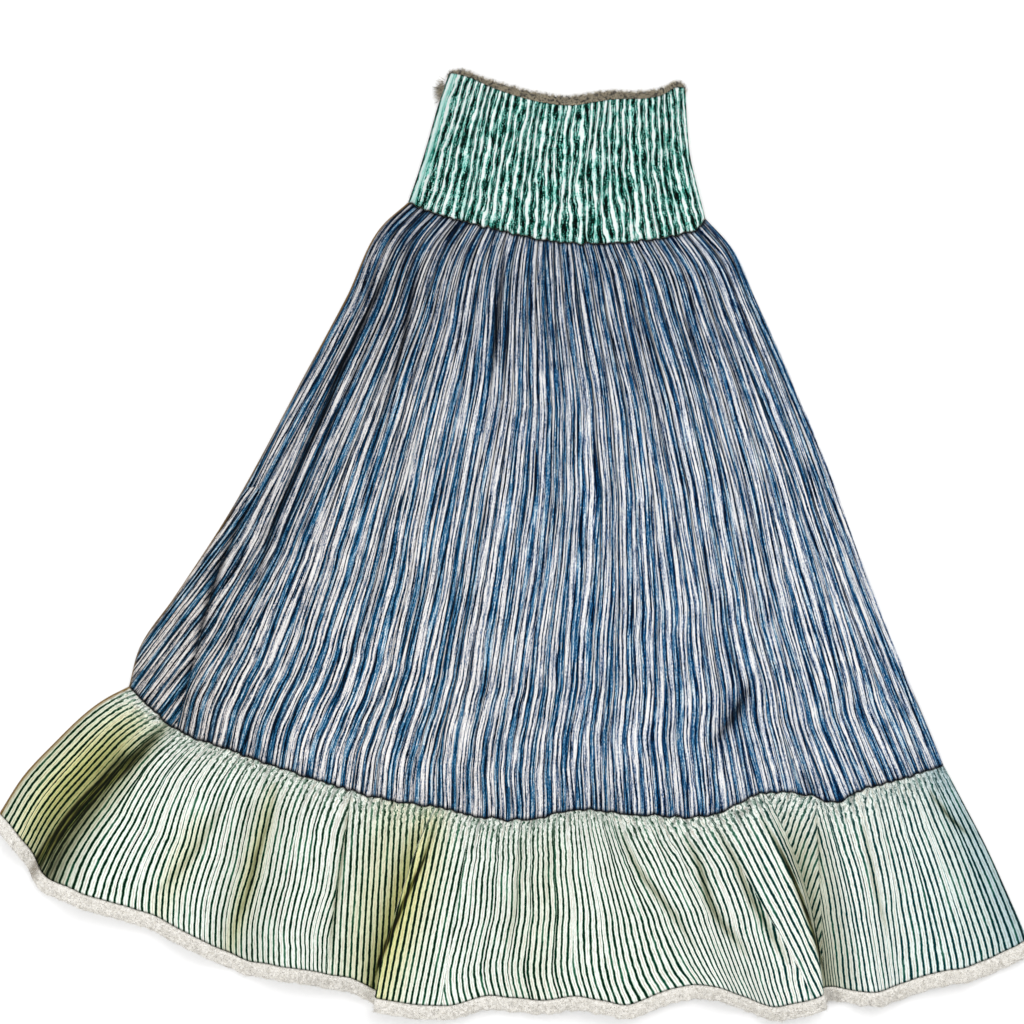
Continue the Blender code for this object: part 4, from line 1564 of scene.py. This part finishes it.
@dataclass
class HemTrim:
    """The pale fuzzy band on the hem, front and back, which follows the flounce's folds."""

    table: Table
    back: float = 2.0
    wall: float = 2.2
    columns: int = 640
    rows: int = 6
    strands: int = 11000
    back_strands: int = 2500

    def build(self) -> None:
        """Make both bands and their pile."""
        folds = FoldMap(FLOUNCE_FOLDS, self.table.flounce_seam, self.table.hem)
        lower = uneven_line(lowered_line(self.table.hem, TRIM_WIDTH, TRIM_SPREAD), 0.9, 0.012, 51)
        tier = Tier(self.table.hem, lower, [], [])
        material = PALE_PILE.paint()
        self.make_front(tier, folds, material)
        self.make_back(tier, material)

    def surface(self, tier: Tier, folds: FoldMap, station: Array, down: Array) -> Array:
        """Give points on the front band's outer surface."""
        across = folds.across(station, np.ones_like(station))
        plan = tier.inset_plan(across, down, 0.0)
        plan = plan + np.dstack([folds.smooth(folds.leans, station), 0.0 * station])
        base = self.back + SEAM_GAP + blend(self.wall, 1.0, down**2)
        height = base + folds.smooth(folds.lifts, station) + 0.35 * Wander(52, 0.012, 0.7).at(station, down)
        rolled = side_roll(across, tier.width(down))
        return self.table.put(plan, EDGE_HEIGHT + (height - EDGE_HEIGHT) * rolled)

    def make_front(self, tier: Tier, folds: FoldMap, material: bpy.types.Material) -> None:
        """Make the front band and its pile."""
        station, down = np.meshgrid(np.linspace(0, 1, self.columns + 1), np.linspace(0, 1, self.rows + 1))
        sheet = ClothMesh("hem_trim_front_band", self.rows, self.columns)
        sheet.place(self.surface(tier, folds, station, down))
        run = 1150.0 * station
        sheet.unroll(run[:, :-1], run[:, 1:], down * TRIM_WIDTH)
        # Painted shade in a dashed line along the trim's top, and where the deep fold at the left meets it
        dashes = 0.5 + 0.5 * np.sin(2 * np.pi * run / 5.5)
        plan = self.surface(tier, folds, station, down)[..., :2] - self.table.shift
        notch = near_path(plan, FLOUNCE_CREASES[0].path, 6.0)
        sheet.mark("hollow", np.clip(0.6 * dashes * np.exp(-down * TRIM_WIDTH / 0.9) + 1.3 * notch, 0, 1))
        piece = sheet.thicken(SHELL)
        finish_piece(piece, material)
        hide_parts("hem_trim_front")
        draw = np.random.default_rng(53)
        station = draw.uniform(0.0, 1.0, self.strands)[None]
        down = (draw.uniform(0.06, 1.0, self.strands) ** 0.8)[None]
        roots = self.surface(tier, folds, station, down)[0]
        lean = np.stack([draw.normal(0, 0.8, self.strands), -draw.uniform(-0.2, 1.0, self.strands)], axis=-1)
        fuzz = Pile(seed=54, length=(1.6, 4.4), width=0.3, rise=1.3).grow("hem_trim_front_pile", roots, lean)
        finish_piece(fuzz, material)
        log.info("hem trim front, %d strands", self.strands)

    def make_back(self, tier: Tier, material: bpy.types.Material) -> None:
        """Make the back band, flat where it rests, and its pile."""
        across, down = np.meshgrid(np.linspace(0, 1, 201), np.linspace(0, BACK_TRIM_SHARE, 4))
        plan = tier.inset_plan(across, down, SIDE_GAP)
        sheet = ClothMesh("hem_trim_back_band", 3, 200)
        sheet.place(self.table.put(plan, np.full_like(across, self.back)))
        run = 1150.0 * across
        sheet.unroll(run[:, :-1], run[:, 1:], down * TRIM_WIDTH)
        sheet.mark("hollow", 0.0 * across)
        piece = sheet.thicken(self.back)
        finish_piece(piece, material)
        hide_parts("hem_trim_back")
        draw = np.random.default_rng(55)
        across = draw.uniform(0.0, 1.0, self.back_strands)[None]
        down = draw.uniform(0.55, BACK_TRIM_SHARE, self.back_strands)[None]
        roots = self.table.put(tier.inset_plan(across, down, SIDE_GAP), np.full_like(across, 1.0))[0]
        lean = np.stack([draw.normal(0, 0.6, self.back_strands), -np.ones(self.back_strands)], axis=-1)
        fuzz = Pile(seed=56, length=(2.0, 4.0), width=0.42, rise=0.5).grow("hem_trim_back_pile", roots, lean)
        finish_piece(fuzz, material)
        log.info("hem trim back, %d strands", self.back_strands)


@dataclass
class Studio:
    """A pale floor, soft light from the upper right, and a camera straight above."""

    camera_height: float = 4.0
    view_width: float = 1.0752
    view_centre: tuple[float, float] = (-0.0015, 0.0360)
    sensor: float = 36.0
    floor_size: float = 14.0

    def build(self) -> None:
        """Make the floor, the lights, the world and the camera."""
        self.make_floor()
        self.add_light("key", (1.5, 1.6, 2.4), 2.4, 42.0)
        self.add_light("fill", (-1.6, -1.3, 2.6), 2.8, 38.0)
        self.light_world()
        self.add_camera()
        log.info("studio")

    def make_floor(self) -> None:
        """Lay the floor."""
        bpy.ops.mesh.primitive_plane_add(size=self.floor_size, location=(0, 0, -0.0002))
        floor = bpy.context.object
        floor.name = "floor"
        floor.data.materials.append(PaleFloor().paint())

    def add_light(self, name: str, place: tuple[float, float, float], size: float, watts: float) -> None:
        """Add a soft square light that faces the skirt.

        Args:
            name: The light's name.
            place: Where it stands, in metres.
            size: Its side, in metres.
            watts: Its power.
        """
        bpy.ops.object.light_add(type="AREA", location=place)
        light = bpy.context.object
        light.name = name
        light.data.size = size
        light.data.energy = watts
        light.visible_camera = False
        light.rotation_euler = (-light.location).to_track_quat("-Z", "Y").to_euler()

    def light_world(self) -> None:
        """Surround the scene with even pale light."""
        world = bpy.data.worlds.new("studio")
        world.use_nodes = True
        background = world.node_tree.nodes["Background"]
        background.inputs["Color"].default_value = (1.0, 1.0, 1.0, 1.0)
        background.inputs["Strength"].default_value = 0.79
        scene = bpy.context.scene
        scene.world = world
        scene.view_settings.view_transform = "Standard"
        scene.view_settings.look = "None"

    def add_camera(self) -> None:
        """Hang the camera over the middle of the photograph's frame."""
        bpy.ops.object.camera_add(location=(*self.view_centre, self.camera_height), rotation=(0, 0, 0))
        camera = bpy.context.object
        camera.data.sensor_width = self.sensor
        camera.data.lens = self.sensor * self.camera_height / self.view_width
        bpy.context.scene.camera = camera


def main() -> None:
    """Build the skirt around its frame, in order."""
    logging.basicConfig(level=logging.INFO, format="%(name)s: %(message)s")
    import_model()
    table = lay_table()
    Studio().build()
    for part in (Waistband(table), Body(table), Flounce(table), HemTrim(table)):
        part.build()


if __name__ == "__main__":
    main()
